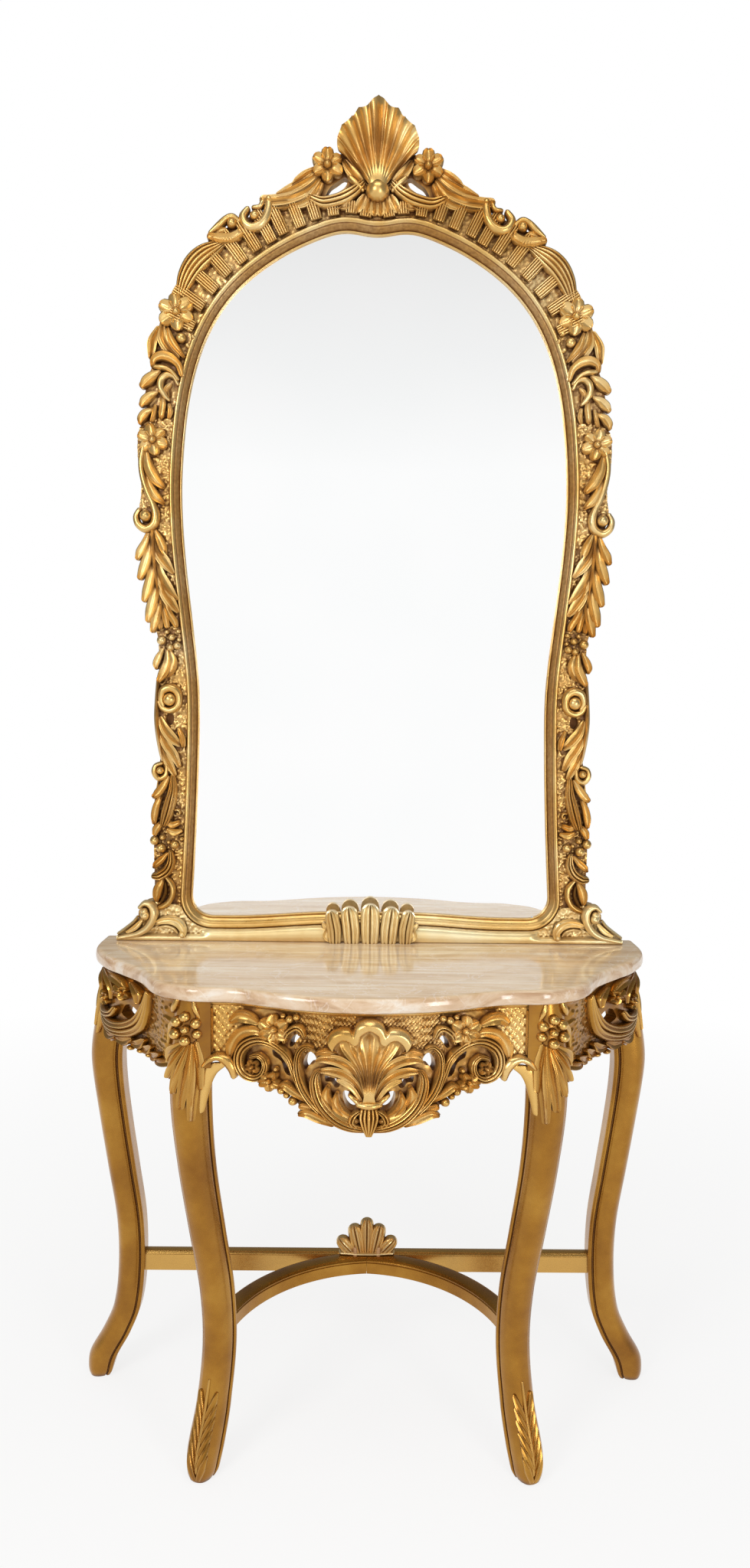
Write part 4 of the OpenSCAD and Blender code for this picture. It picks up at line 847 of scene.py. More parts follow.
crestCarving = [
    # reeded swags that hold the bulb, with leaves over them
    ("reed", 3, 15, (0.8, 0.9), (26, 1262, 7), (40, 1249, 10), (60, 1238, 11), (88, 1232, 10), (108, 1239, 7)),
    ("flute", 2, 14, (0.6, 1), (20, 1258, 5), (34, 1270, 8), (46, 1283, 8), (54, 1295, 5)),
    ("round", 1, 12, (0.6, 1), (25, 1253, 4), (37, 1264, 5), (45, 1271, 4)),
    ("scoop", 1, 11, (0.6, 1), (40, 1236, 3), (48, 1228, 6), (58, 1226, 5)),
    ("scoop", 1, 11, (0.6, 1), (56, 1232, 3), (66, 1226, 5), (76, 1225, 4)),
    # drooping leaves beyond the flower
    ("flute", 2, 13, (0.6, 1.05), (102, 1284, 5), (118, 1274, 7), (131, 1265, 6), (138, 1260, 3)),
    ("flute", 2, 14, (0.6, 1.05), (102, 1276, 5), (120, 1263, 8), (143, 1251, 8), (162, 1244, 4)),
    ("flute", 2, 14, (0.6, 1.05), (98, 1268, 5), (114, 1251, 8), (140, 1239, 9), (168, 1234, 9),
        (186, 1235, 7)),
    ("flute", 2, 13, (0.6, 1), (95, 1262, 5), (106, 1243, 8), (122, 1231, 8), (142, 1227, 4)),
    ("scoop", 1, 12, (0.6, 1), (92, 1260, 4), (98, 1246, 5), (106, 1233, 5)),
    ("scoop", 1, 12, (0.6, 1), (134, 1230, 4), (156, 1226, 6), (178, 1226, 4)),
    ("flower", 82, 1290, 27, 6, 30, 17)]
calyx = [(4, 1240, 5, 1219, 7), (13, 1241, 17, 1221, 7), (22, 1243, 31, 1224, 7)]


def stileLoop(low, high):
    left, right = [], []
    steps = int((high - low) / 8)
    for k in range(steps + 1):
        v = low + (high - low) * k / steps
        left.append((innerAt(v), v))
        inset = 3 + 8 * smoothStep(535, 560, v) * (1 - smoothStep(670, 700, v)) + 8 * smoothStep(870, 885, v)
        right.append((outerAt(v) - inset, v))
    return left + list(reversed(right))


def makeStile(side, name, node):
    carving = newCarving(onMirror(mirror["face"]))
    (u, v), (wide, tall) = frameBoard["eye"], frameBoard["eyeSize"]
    eye = [(u + wide * math.cos(math.radians(a)), v + tall * math.sin(math.radians(a)))
        for a in range(0, 360, 20)]
    loops = [[(side * u, v) for u, v in loop] for loop in (stileLoop(50, mirror["splice"]), eye)]
    relief = pebbles(5, 3, 3)
    board(carving, loops, frameBoard["back"], lambda u, v: relief(abs(u), v), 1.8, frameBoard["ground"])
    carve(carving, stileCarving, side)
    return finishPiece(name, carving, goldLeaf, [node])


for side, name, node in ((-1, "leftStileCarved", "left_stile"), (1, "rightStileCarved", "right_stile")):
    makeStile(side, name, node)
print("stiles made")

gadroons = {"width": 10.5, "from": 12, "to": 302, "at": [0, 60, 90, 140, 190, 305],
    "tall": [15, 26, 40, 56, 60, 60]}
archInner = [p for p in innerRing[:len(sight) // 2 + 2] if p[1] > mirror["splice"] and p[0] > -0.5]
archOuter = [p for p in outerRight if p[1] > mirror["splice"]]


def makeArch(side, name, node):
    carving = newCarving(onMirror(mirror["face"]))
    outer = [(outerAt(mirror["splice"]) - 5, mirror["splice"])]
    outer += [(max(u - 4, 0), v - 3 + 6 * (1 - smoothStep(120, 200, u))) for u, v in archOuter]
    inner = [(innerAt(mirror["splice"]), mirror["splice"])] + archInner + [(0, archInner[-1][1])]
    outer[-1] = (0, outer[-1][1])
    loop = inner + list(reversed(outer))
    relief = pebbles(5.2, 2.2, 7)
    board(carving, [[(side * u, v) for u, v in loop]], frameBoard["back"], lambda u, v: relief(abs(u), v), 2.6,
        frameBoard["ground"])
    # gadroons: ribbed blocks side by side on the moulding
    k, travelled, width = 0, 2, gadroons["width"]
    for p, q in zip(archInner, archInner[1:]):
        travelled += math.dist(p, q)
        if travelled < 2 * width or not gadroons["from"] < p[0] < gadroons["to"]:
            continue
        travelled = 0
        t = Vector((q[0] - p[0], q[1] - p[1])).normalized()
        n = Vector((t.y, -t.x))
        if n.dot(Vector((p[0], p[1] - 745))) < 0:
            n = -n
        length = between(p[0], gadroons["at"], gadroons["tall"])
        while length > 12 and p[0] + length * n.x > outerAt(p[1] + length * n.y) - 9:
            length -= 1
        a, b = Vector(p) + (2.5 + 1.5 * (k % 2)) * n, Vector(p) + length * n
        rows = [(*(a + (b - a) * s), width * w)
            for s, w in ((0, 0.84), (0.06, 0.95), (0.5, 1), (0.94, 1), (1, 0.94))]
        strand(carving, rows, "reed", 5, 8.5 + k % 2, root=0, lift=(0.95, 0.8), steps=3, side=side,
            ends=(False, False))
        k += 1
    carve(carving, archCarving, side)
    return finishPiece(name, carving, goldLeaf, [node])


for side, name, node in ((-1, "leftArchCarved", "left_arch"), (1, "rightArchCarved", "right_arch")):
    makeArch(side, name, node)
print("arches made")

# Crest: a shell of hollow flutes over a bulb, on a board with two openings. The board's back stays clear
# of the arch's back, so that their faces don't lie in one plane where they overlap
crestBoard = {"back": -23.4, "front": -4,
    "half": [(0, 142), (24, 128), (40, 112), (54, 98), (58, 78), (54, 70), (90, 66), (102, 42), (118, 26),
        (136, 16), (160, 0), (184, -8), (180, -24), (150, -22), (110, -19), (60, -16), (0, -14)],
    "hole": [(48, 1272), (55, 1275), (67, 1267), (77, 1260), (85, 1246), (79, 1246), (64, 1252), (53, 1260)]}
crestShell = {"bulb": (0, 1253, 20), "thick": 8, "fluting": 46, "steps": (176, 40),
    "rim": [(0, 151), (8, 149.5), (13, 144), (15, 139), (21, 136.5), (29, 134), (35, 129.5), (39.5, 123),
        (43, 119), (50, 114.5), (56.5, 109), (61, 102), (65, 93), (66, 87), (66.5, 79), (63, 69), (56, 61)],
    "ribs": [0, 3 / 16, 5.5 / 16, 8 / 16, 10.5 / 16, 13 / 16, 1]}


def bothSides(loop):  # a hole and its mirror image
    ring = smoothCurve(loop + loop[:1], 3)[:-1]
    return [ring, [(-u, v) for u, v in ring]]


def makeCrest():
    carving = newCarving(onMirror(mirror["face"]))
    top, half = mirror["archTop"], crestBoard["half"]
    outline = [(u, top + v) for u, v in half] + [(-u, top + v) for u, v in reversed(half[1:-1])]
    board(carving, [outline] + bothSides(crestBoard["hole"]), crestBoard["back"], lambda u, v: 0, 5,
        crestBoard["front"])
    shell = crestShell
    along, up = shell["steps"]
    rim = smoothCurve(shell["rim"], 6)
    cx, cy, bulb = shell["bulb"]
    marks = shell["ribs"]

    def shape(i, j):
        s = 2 * i / along - 1
        q = abs(s)
        at = q * (len(rim) - 1)
        k = min(int(at), len(rim) - 2)
        place = [rim[k][c] + (rim[k + 1][c] - rim[k][c]) * (at - k) for c in (0, 1)]
        t = min(j, 2 * up + 1 - j) / up
        a = math.radians(100 * s)
        base = Vector((cx + 0.5 * bulb * math.sin(a), cy + 0.5 * bulb * math.cos(a)))
        end = Vector((place[0] * (1 if s >= 0 else -1), top + place[1]))
        bend = Vector((base.x * 1.5 + 0.24 * (end.x - base.x), base.y + 0.5 * (end.y - base.y)))
        p = (1 - t) ** 2 * base + 2 * t * (1 - t) * bend + t * t * end
        n = next(m for m in range(1, len(marks)) if q <= marks[m])
        low, high = marks[n - 1], marks[n]
        wave = math.sin(math.pi * (q - low) / (high - low))
        depth = shell["fluting"] * (high - low) * smoothStep(0.04, 0.6, t)
        h = (20 - 8 * smoothStep(0, 0.55, t) + 8 * smoothStep(0.62, 1, t) - 4 * q * q
            - depth * max(wave, 0) ** 0.8)
        # The last value is umber with painted shade: deeper down each flute's hollow, and full on the shell's
        # back
        if j > up:
            return p.x, p.y, h - shell["thick"] * smoothStep(0, 0.1, 1 - q) * smoothStep(0, 0.1, t), 1
        return p.x, p.y, h, 0.55 * max(wave, 0) ** 1.5 * smoothStep(0.05, 0.4, t)

    drape(carving, along, 2 * up + 1, shape)
    bead(carving, cx, cy - 2, bulb, 24, deep=0.4)
    for side in (-1, 1):
        for a, b, c, d, w in calyx:
            strand(carving, [(a, b, w * 0.6), ((a + c) / 2, (b + d) / 2, w), (c, d, w)], "flute", 2, 13,
                lift=(0.7, 1), side=side)
        carve(carving, crestCarving, side)
    return finishPiece("crestCarved", carving, goldLeaf, ["crest_shell"])


makeCrest()
print("crest made")

# Base rail: a torus and a cove under the sight moulding, dying into a corner scroll at each end
baseRail = {"back": -36, "ground": -9, "corner": (278, 300),
    "profile": [(0, -4), (0.5, -1.6), (2, -0.4), (6, 0.6), (11, 0.4), (14.5, -0.8), (17, -2.6), (18.6, -4.6),
        (19.4, -7), (20.2, -9.5), (23, -10), (34, -8)],
    "end": [(440, 0), (440, 8), (434, 14), (420, 23), (409, 32), (403, 39), (403, 50), (398, 61), (390, 67),
        (379, 70), (366, 66), (350, 64), (335, 62)]}
baseCarving = [
    # C leaf with a curled tip
    ("scoop", 1, 14, (0.9, 0.7), (325, 12, 5.5), (324, 21, 6), (331, 32, 7), (344, 38, 7), (358, 37, 6),
        (370, 33, 4)),
    ("round", 1, 10, (0.7, 0.7), (334, 16, 2), (340, 24, 3), (352, 28, 3), (366, 25, 2)),
    ("bead", 326, 12, 6, 12),
    # the tail that rolls up into the corner volute
    ("round", 1, 14, (0.9, 0.6), (399, 60, 3), (390, 67, 4.5), (379, 63, 6), (374, 51, 7), (377, 37, 7),
        (387, 23, 6), (402, 14, 5), (420, 9, 4), (435, 6, 3)),
    ("bead", 389, 46, 9, 16), ("bead", 390, 53, 7, 13),
    ("scoop", 1, 9, (0.7, 0.7), (396, 36, 3), (406, 25, 5), (420, 16, 3)),
    ("ridge", 1, 7, (0.8, 0.6), (404, 42, 2), (411, 32, 3), (424, 22, 2.5), (437, 13, 2))]


def makeBase():
    carving = newCarving(onMirror(mirror["baseFace"]))
    right = baseRail["end"] + list(reversed([p for p in innerRing if p[1] < 62 and 0 <= p[0] < 334]))
    outline = right + [(-u, v) for u, v in reversed(right[:-1] if right[-1][0] == 0 else right)]
    heights, depths = zip(*baseRail["profile"])
    dots = pebbles(5, 2.8, 5)

    def relief(u, v):
        corner = smoothStep(*baseRail["corner"], abs(u))
        flat = between(v * 20.5 / (lowAt(u) - 19), heights, depths)
        ground = baseRail["ground"] + dots(abs(u), v) if v > 11.5 else between(v * 1.75, heights, depths)
        return flat * (1 - corner) + ground * corner

    # The tone is umber with painted shade: a dark line in the cove of the profile, and towards each corner the
    # ground darkens between its bumps
    def tone(u, v, h):
        corner = smoothStep(*baseRail["corner"], abs(u))
        line = smoothStep(17, 19, v * 20.5 / (lowAt(u) - 19))
        hollow = min(max(0.9 - 0.24 * (h - baseRail["ground"]), 0.1), 1)
        return 0.04 + 0.9 * line * (1 - corner) + corner * smoothStep(9, 12, v) * hollow

    board(carving, [outline], baseRail["back"], relief, 1.9, 0, tone)
    for side in (-1, 1):
        carve(carving, baseCarving, side)
    return finishPiece("baseRailCarved", carving, paleLitGoldLeaf, ["base_rail"])


makeBase()


# Lobes of the base shell: across at the root, halfway and at the tip, height and half width
baseShell = [(0, 0, 0, 66, 17), (32, 33, 36, 61, 16), (61, 62, 66, 55, 13)]


def makeBaseShell():
    carving = newCarving(onMirror(mirror["baseFace"]))
    for u1, u2, u3, top, w in baseShell:
        for side in ((1,) if u1 == 0 else (-1, 1)):
            strand(carving, [(u1, 3, w * 0.86), (u2, 24, w), (u3, top - w * 0.8, w * 0.96)], "reed", 4, 14,
                root=8, lift=(0.8, 1.05), side=side)
    for side in (-1, 1):
        strand(carving, [(68, 4, 4), (76, 12, 6), (74, 24, 5), (80, 32, 4)], "scoop", 1, 11, root=8, side=side)
    return finishPiece("baseShellCarved", carving, paleLitGoldLeaf, ["base_shell"])


makeBaseShell()
print("base made")


# Legs: the section swept up the bent line, and a square head between the aprons
legHead = {"height": 88, "middle": 734, "round": 4}
# How far each part of a leg is lifted toward the pale painted highlight
legPaintedHighlight = {"shoulder": 0.75, "front": 0.6, "rear": 0.6, "foot": 0.3}
legCarving = {
    "front": [
        # flower cluster at the knee with narrow leaves hanging from it
        ("bead", -20, 735, 6.5, 14), ("bead", -33, 743, 8.5, 11), ("bead", -17, 753, 8.5, 11),
        ("bead", -4, 744, 9, 12),
        ("bead", -3, 725, 9, 12), ("bead", -20, 717, 8.5, 11), ("bead", -36, 727, 8, 11),
        ("scoop", 1, 11, (0.6, 1.1), (-36, 712, 4), (-42, 680, 6), (-44, 644, 4)),
        ("flute", 2, 12, (0.6, 1.1), (-32, 710, 4), (-35, 660, 8), (-31, 598, 5)),
        ("flute", 2, 12, (0.6, 1.1), (-28, 710, 4), (-24, 664, 8), (-18, 618, 6)),
        ("flute", 2, 12, (0.6, 1.1), (-24, 710, 4), (-13, 674, 8), (-6, 640, 6)),
        ("flute", 2, 12, (0.6, 1.1), (-20, 711, 4), (-4, 684, 7), (5, 660, 6)),
        ("scoop", 1, 11, (0.6, 1.1), (-14, 712, 4), (6, 696, 7), (14, 682, 6)),
        ("scoop", 1, 10, (0.6, 1), (6, 740, 4), (17, 724, 7), (20, 706, 4)),
        ("round", 1, 8, (0.8, 0.8), (-28, 776, 3), (-31, 764, 4), (-37, 752, 3)),
        ("round", 1, 8, (0.8, 0.8), (0, 776, 4), (5, 764, 6), (13, 756, 4))],
    "foot": [
        ("round", 1, 3, (0.6, 0.8), (-14, 154, 2), (-13, 120, 3), (-14, 70, 3.5), (-15, 20, 3.5))]
        + [("scoop", 1, 5.5, (0.6, 1), (-14 + s * 3, z, 3.5), (-14 + s * 9, z + 18, 5),
            (-14 + s * 14, z + 36, 3))
            for z in (8, 26, 44, 62, 80, 98) for s in (-1, 1)],
    "shoulder": [
        ("ridge", 1, 4, (1, 1), (244, 3, 4), (243, 40, 4), (243, 76, 4), (247, 92, 3)),
        ("ridge", 1, 3, (1, 1), (254, 3, 4), (252, 40, 4.5), (252, 72, 4.5), (256, 92, 4)),
        ("scoop", 1, 6, (0.8, 1), (254, 66, 3), (252, 82, 4), (255, 98, 3)),
        ("round", 1, 3, (0.9, 0.9), (222, 101, 4), (236, 107, 9), (247, 120, 12), (254, 142, 12),
            (257, 168, 9))],
    "rear": [
        ("scoop", 1, 10, (0.7, 0.9), (-20, 744, 5), (-25, 702, 7), (-23, 656, 3)),
        ("scoop", 1, 10, (0.7, 0.9), (-32, 748, 5), (-35, 704, 7), (-31, 644, 3)),
        ("scoop", 1, 10, (0.7, 0.9), (-43, 744, 5), (-42, 702, 7), (-36, 654, 3)),
        ("bead", -30, 756, 7, 10), ("scoop", 1, 9, (0.8, 0.9), (-12, 740, 5), (-10, 708, 7), (-12, 686, 3))]}


def makeLeg(which, side, name, node):
    carving = newCarving(lambda u, v, h: Vector((side * u, v, h)))
    leg = legs[which]
    across = Vector((-leg["dir"].y, leg["dir"].x))
    rows = 120

    def shape(i, j):
        z = plan["frameTop"] * (i / rows) ** 1.15
        width = legGirthAt(z)
        a, b = legLine[j % len(legLine)]
        c = legCentre(which, z) + width * (a * leg["dir"] + b * across)
        # The last value is umber with painted shade: full in the groove of the inner side, and deeper towards
        # the leg's edges, where its faces turn from the light
        return (c.x, c.y, z,
            0.95 if -0.36 < a < -0.3 and abs(b) < 0.37 else 0.12 + 0.5 * smoothStep(0.34, 0.5, abs(b)))

    drape(carving, rows, len(legLine), shape)
    head = frontHead if which == "front" else rearHead
    box = bmesh.ops.create_cube(carving["bm"], size=1)["verts"]
    bmesh.ops.scale(carving["bm"], vec=(plan["head"], plan["head"], legHead["height"]), verts=box)
    bmesh.ops.translate(carving["bm"], vec=(side * head.x, head.y, legHead["middle"]), verts=box)
    rim = list(dict.fromkeys(e for v in box for e in v.link_edges))
    bmesh.ops.bevel(carving["bm"], geom=rim, offset=legHead["round"], segments=3, profile=0.5, affect="EDGES",
        material=-1)
    for part in ("shoulder", "front", "foot") if which == "front" else ("rear",):
        carving["place"] = onFront if part == "shoulder" else onLeg(which, side)
        carving["paintedHighlight"] = legPaintedHighlight[part]
        carve(carving, legCarving[part], side if part == "shoulder" else 1)
    return finishPiece(name, carving, goldPaint, [node], 50)


for side, hand in ((-1, "left"), (1, "right")):
    for which in ("front", "rear"):
        makeLeg(which, side, f"{hand}{which.capitalize()}LegCarved", f"{which}_{hand}_leg")
print("legs made")

# Front apron: foliage over pierced boards, drawn on the right, depths below the marble
apronBoard = {"back": -24, "front": -4, "moulding": 9,
    "lattice": {"from": 190, "drop": 100, "pitch": 11.5, "height": 3.2},
    "net": {"from": 20, "to": 112, "drop": 70, "pitch": 6.2, "height": 3}}
apronFront = {"half": 241, "drop": 195, "end": 246, "edge": [(0, 0.93), (0.08, 0.9), (0.17, 0.88), (0.4, 0.78),
    (0.47, 0.72), (0.61, 0.54), (0.71, 0.48), (0.8, 0.5), (0.9, 0.44), (1.02, 0.42)]}
apronHoles = [
    [(17, 143), (21, 131), (31, 122), (38, 122), (39, 131), (35, 143), (27, 150), (20, 149)],
    [(42, 107), (49, 104), (59, 102), (66, 100), (65, 109), (57, 109), (51, 117), (45, 116)],
    [(78, 77), (83, 68), (90, 66), (97, 76), (99, 88), (95, 94), (90, 86), (84, 84)],
    [(104, 44), (110, 41), (118, 50), (120, 60), (115, 60), (110, 52)],
    [(118, 106), (122, 93), (132, 79), (146, 69), (144, 79), (133, 85), (129, 97), (124, 104)]]
apronCarving = [
    # leaves that fan out beside the shell
    ("scoop", 1, 11, (0.6, 1), (50, 64, 3), (62, 61, 5), (76, 64, 3)),
    ("flute", 2, 13, (0.6, 1), (8, 122, 3), (14, 104, 5), (27, 84, 7), (46, 73, 8), (66, 72, 6), (76, 76, 3)),
    ("flute", 2, 13, (0.6, 1), (10, 128, 3), (20, 107, 5), (36, 94, 7), (56, 89, 6), (72, 91, 3)),
    ("flute", 1, 12, (0.6, 1), (12, 133, 3), (22, 117, 4), (34, 107, 5), (45, 103, 3)),
    # leaves inside the big lower scroll
    ("scoop", 1, 13, (0.6, 1.1), (18, 164, 4), (40, 152, 8), (48, 137, 7), (47, 124, 3)),
    ("scoop", 1, 14, (0.6, 1.1), (34, 165, 4), (54, 148, 8), (62, 129, 8), (61, 116, 4)),
    ("reed", 4, 14, (0.8, 0.8), (2, 178, 4), (28, 173, 8), (52, 160, 10), (71, 138, 10), (79, 113, 9),
        (78, 97, 6), (72, 90, 3)),
    ("scoop", 1, 13, (0.7, 1.2), (54, 171, 4), (74, 162, 7), (90, 156, 7), (100, 158, 4)),
    ("scoop", 1, 11, (0.7, 1.1), (72, 158, 3), (84, 148, 5), (98, 146, 5)),
    # stems that run out to the side scroll
    ("reed", 3, 14, (0.7, 0.8), (60, 164, 4), (80, 143, 6), (95, 121, 6.5), (103, 99, 6), (105, 78, 5),
        (101, 63, 5), (92, 55, 4), (84, 57, 3)),
    ("reed", 2, 12, (0.7, 0.8), (96, 40, 3), (100, 30, 5), (108, 28, 5), (120, 38, 5), (125, 52, 3)),
    ("reed", 3, 14, (0.6, 0.8), (88, 136, 3), (99, 124, 5), (110, 97, 5.5), (118, 75, 5), (134, 61, 5.5),
        (152, 54, 7), (170, 56, 8), (186, 66, 9), (194, 80, 9), (194, 96, 9), (186, 109, 8), (172, 114, 7),
        (160, 109, 6), (154, 98, 5.5), (155, 86, 5), (164, 79, 4.5), (175, 82, 4)),
    ("scoop", 1, 16, (0.7, 0.9), (150, 46, 4), (168, 40, 7), (186, 44, 9), (199, 55, 9), (207, 70, 9),
        (209, 82, 5)),
    ("scoop", 1, 14, (0.7, 1), (168, 28, 5), (181, 22, 9), (195, 22, 9), (205, 28, 6)),
    # the boss in the side scroll and the flower hanging from it
    ("flower", 172, 96, 12, 5, 10, 15), ("flower", 147, 115, 17, 5, 20, 14),
    ("flower", 140, 35, 24, 6, 35, 14),
    ("bead", 118, 18, 6, 8), ("bead", 108, 14, 5, 7), ("bead", 128, 14, 4, 6),
    ("scoop", 1, 12, (0.7, 1), (92, 138, 3), (110, 126, 6), (124, 118, 6), (132, 126, 3)),
    ("bead", 112, 141, 7, 12), ("bead", 130, 128, 6, 9), ("bead", 122, 134, 5, 8), ("bead", 138, 96, 4, 8),
    # the smooth lip over the leg's shoulder
    ("round", 1, 15, (1, 0.9), (203, 113, 6), (206, 100, 9), (215, 90, 9), (229, 86, 6), (242, 91, 5),
        (251, 101, 3)),
    ("ridge", 1, 5, (1, 1), (238, 14, 2.5), (238, 78, 2.5)), ("ridge", 1, 5, (1, 1), (244, 14, 2.5),
        (244, 82, 2.5))]


def makeFrontApron():
    carving = newCarving(onFront)
    edge = smoothCurve([(a * apronFront["half"], b * apronFront["drop"]) for a, b in apronFront["edge"]], 4)
    end = apronFront["end"]
    loops = [[(-end, 0)] + [(-u, v) for u, v in reversed(edge)] + edge[1:] + [(end, 0)]]
    for hole in apronHoles:
        loops += bothSides(hole)

    diamonds, lines = apronBoard["lattice"], apronBoard["net"]

    def relief(u, v):
        u = abs(u)
        if v < apronBoard["moulding"]:
            return 6 - 5 * abs(v - 4) / 5 if v > 1 else 2
        if u > diamonds["from"] and v < diamonds["drop"]:
            return lattice(u, v, diamonds["pitch"], diamonds["height"])
        if lines["from"] < u < lines["to"] and v < lines["drop"]:
            return net(u, v, lines["pitch"], lines["height"])
        return 1.2 * noise.noise(Vector((u, v, 0)) / 9)

    board(carving, loops, apronBoard["back"], relief, 1.5, apronBoard["front"])
    for side in (-1, 1):
        carve(carving, apronCarving, side)
    return finishPiece("frontApronCarved", carving, glazedGold, ["front_apron"])


makeFrontApron()
print("front apron made")


# The shell on the apron: hollow rays that meet in a neck, under a lip rolled forward in three lobes
apronShell = {"hub": 140, "turn": 34.5, "steps": 138, "ray": 8.6,
    "rim": [(0, 131), (4, 130), (8.7, 125), (12, 115.5), (13.9, 120.5), (19.3, 124), (25.3, 124), (30, 120),
        (33.1, 112), (34.5, 96)],
    "lip": [(0, 115), (6.4, 108), (8.8, 98), (12.9, 94.5), (16.5, 102), (20.3, 106.5), (23.9, 106), (29.6, 101),
        (34.5, 92)]}


def makeApronShell():
    carving = newCarving(onFront)
    hub, turn, along = apronShell["hub"], apronShell["turn"], apronShell["steps"]
    rimAt, rimLong = zip(*smoothCurve(apronShell["rim"], 4))
    lipAt, lipLong = zip(*smoothCurve(apronShell["lip"], 4))
    rays = []
    for i in range(along + 1):
        a = turn * (2 * i / along - 1)
        reach, lip = between(abs(a), rimAt, rimLong), between(abs(a), lipAt, lipLong)
        mid = (lip + reach) / 2
        rays.append((a, lip, smoothCurve([(0, -3), (2, 6), (12, 11.5), (30, 12.5), (52, 10.5), (74, 8),
            (lip - 14, 5.5), (lip - 5, 4), (lip + 2.5, 4.6), (lip + 4, 8), (lip + 1.5, 11.5), (lip, 13.5),
            (lip + 2.5, 16), (mid, 18), (reach - 5, 16), (reach - 1.5, 12), (reach, 7.5),
            (reach - 0.5, -3)], 3)))

    def shape(i, j):
        a, lip, line = rays[i]
        r, h = line[j]
        groove = abs(math.sin(math.pi * a / apronShell["ray"])) ** 0.8 * smoothStep(16, 40, r)
        under = j < 24
        if under:
            h -= 4.2 * groove * (1 - smoothStep(lip - 8, lip - 1, r))
        h = -3 + (h + 3) * smoothStep(0, 0.08, 1 - abs(a) / turn)
        b = math.radians(a * (0.6 + 0.4 * smoothStep(40, 95, r)))
        neck = 9 * (1 - smoothStep(0, 22, r)) * a / turn
        # The dark value is umber with painted shade: deeper in the grooves of the rays and towards the lip,
        # dark on the underside of the rolled lip, light on its top
        dark = max(0.75 * groove, smoothStep(lip - 16, lip - 2, r)) if under else 0.9 if j < 30 else 0.03
        return neck + r * math.sin(b), hub - r * math.cos(b), h, dark

    drape(carving, along, len(rays[0][2]) - 1, shape)
    strand(carving, [(-15, 139, 5), (0, 140, 6.5), (15, 139, 5)], "round", 1, 13)
    for u in (-10, -5, 0, 5, 10):
        strand(carving, [(u, 147, 2.6), (1.15 * u, 158, 2.9), (0.8 * u, 172, 2.7), (0.3 * u, 186, 1.8)],
            "round", 1, 12)
    for side in (-1, 1):
        strand(carving, [(14, 150, 3), (22, 156, 5), (25, 166, 5), (19, 174, 4)], "reed", 2, 12, side=side)
        strand(carving, [(28, 126, 3), (21, 131, 4), (15, 137, 4)], "round", 1, 10, side=side)
    return finishPiece("apronShellCarved", carving, glazedGold, ["apron_shell"])


makeApronShell()
print("apron shell made")

# Side aprons: a broad fluted scroll, leaves by the rear leg and a punched panel in front
sideEdge = [(0, 0.86), (0.12, 0.92), (0.22, 0.96), (0.34, 0.86), (0.46, 0.83), (0.58, 0.89), (0.7, 0.84),
    (0.85, 0.76), (1.1, 0.74)]
sideHole = [(72, 56), (80, 52), (90, 58), (86, 70), (76, 78), (66, 72), (72, 56)]
sideGround = pebbles(6, 3, 2)
sideCarving = [
    ("reed", 4, 12, (0.8, 0.8), (116, 18, 5), (110, 46, 9), (98, 74, 12), (74, 94, 13), (44, 100, 12),
        (18, 92, 8)),
    ("reed", 2, 11, (0.7, 0.9), (14, 76, 5), (32, 84, 7), (52, 78, 6), (60, 66, 4)),
    ("flower", 30, 60, 14, 5, 30, 11),
    ("flute", 2, 11, (0.6, 1), (8, 20, 4), (20, 34, 8), (22, 48, 5)),
    ("flute", 2, 11, (0.6, 1), (26, 14, 4), (44, 22, 8), (54, 36, 6), (54, 50, 3)),
    ("scoop", 1, 11, (0.6, 1), (44, 12, 4), (64, 14, 8), (76, 24, 4)),
    ("flower", 72, 34, 13, 5, 10, 11),
    ("scoop", 1, 11, (0.7, 1), (88, 14, 4), (98, 24, 7), (98, 38, 4)),
    ("scoop", 1, 10, (0.7, 1), (30, 112, 4), (44, 118, 7), (56, 114, 4)),
    ("scoop", 1, 10, (0.7, 1), (62, 116, 4), (74, 114, 7), (84, 106, 4)),
    ("scoop", 1, 10, (0.7, 1), (88, 112, 4), (98, 108, 7), (106, 98, 4)),
    ("scoop", 1, 10, (0.7, 1), (106, 112, 4), (116, 108, 7), (124, 100, 4)),
    ("bead", 100, 118, 4, 8), ("bead", 84, 121, 4, 8), ("bead", 118, 116, 4, 8),
    ("scoop", 1, 10, (0.7, 1), (126, 110, 4), (138, 108, 7), (148, 100, 4)),
    ("scoop", 1, 10, (0.7, 1), (144, 112, 4), (156, 108, 6), (166, 102, 4))]


def makeSideApron(side, name, node):
    carving = newCarving(onSide(side))
    edge = smoothCurve([(a * apronSide["length"], b * apronSide["drop"]) for a, b in sideEdge], 4)
    outline = [(-2, 0)] + [(-2, edge[0][1])] + edge + [(apronSide["end"], 0)]

    def relief(u, v):
        if v < 9:
            return 5 - 4 * abs(v - 4) / 5 if v > 1 else 2
        if u > 100 and v < 108:
            return sideGround(u, v)
        return 1.2 * noise.noise(Vector((u, v, 4)) / 9)

    loops = [outline, smoothCurve(sideHole, 3)[:-1]]
    board(carving, loops, apronBoard["back"], relief, 2, apronBoard["front"])
    # The side apron's carving is lifted toward the pale painted highlight
    carving["paintedHighlight"] = 0.35
    carve(carving, sideCarving)
    return finishPiece(name, carving, goldPaint, [node])


for side, name, node in ((-1, "leftApronCarved", "left_apron"), (1, "rightApronCarved", "right_apron")):
    makeSideApron(side, name, node)
print("side aprons made")

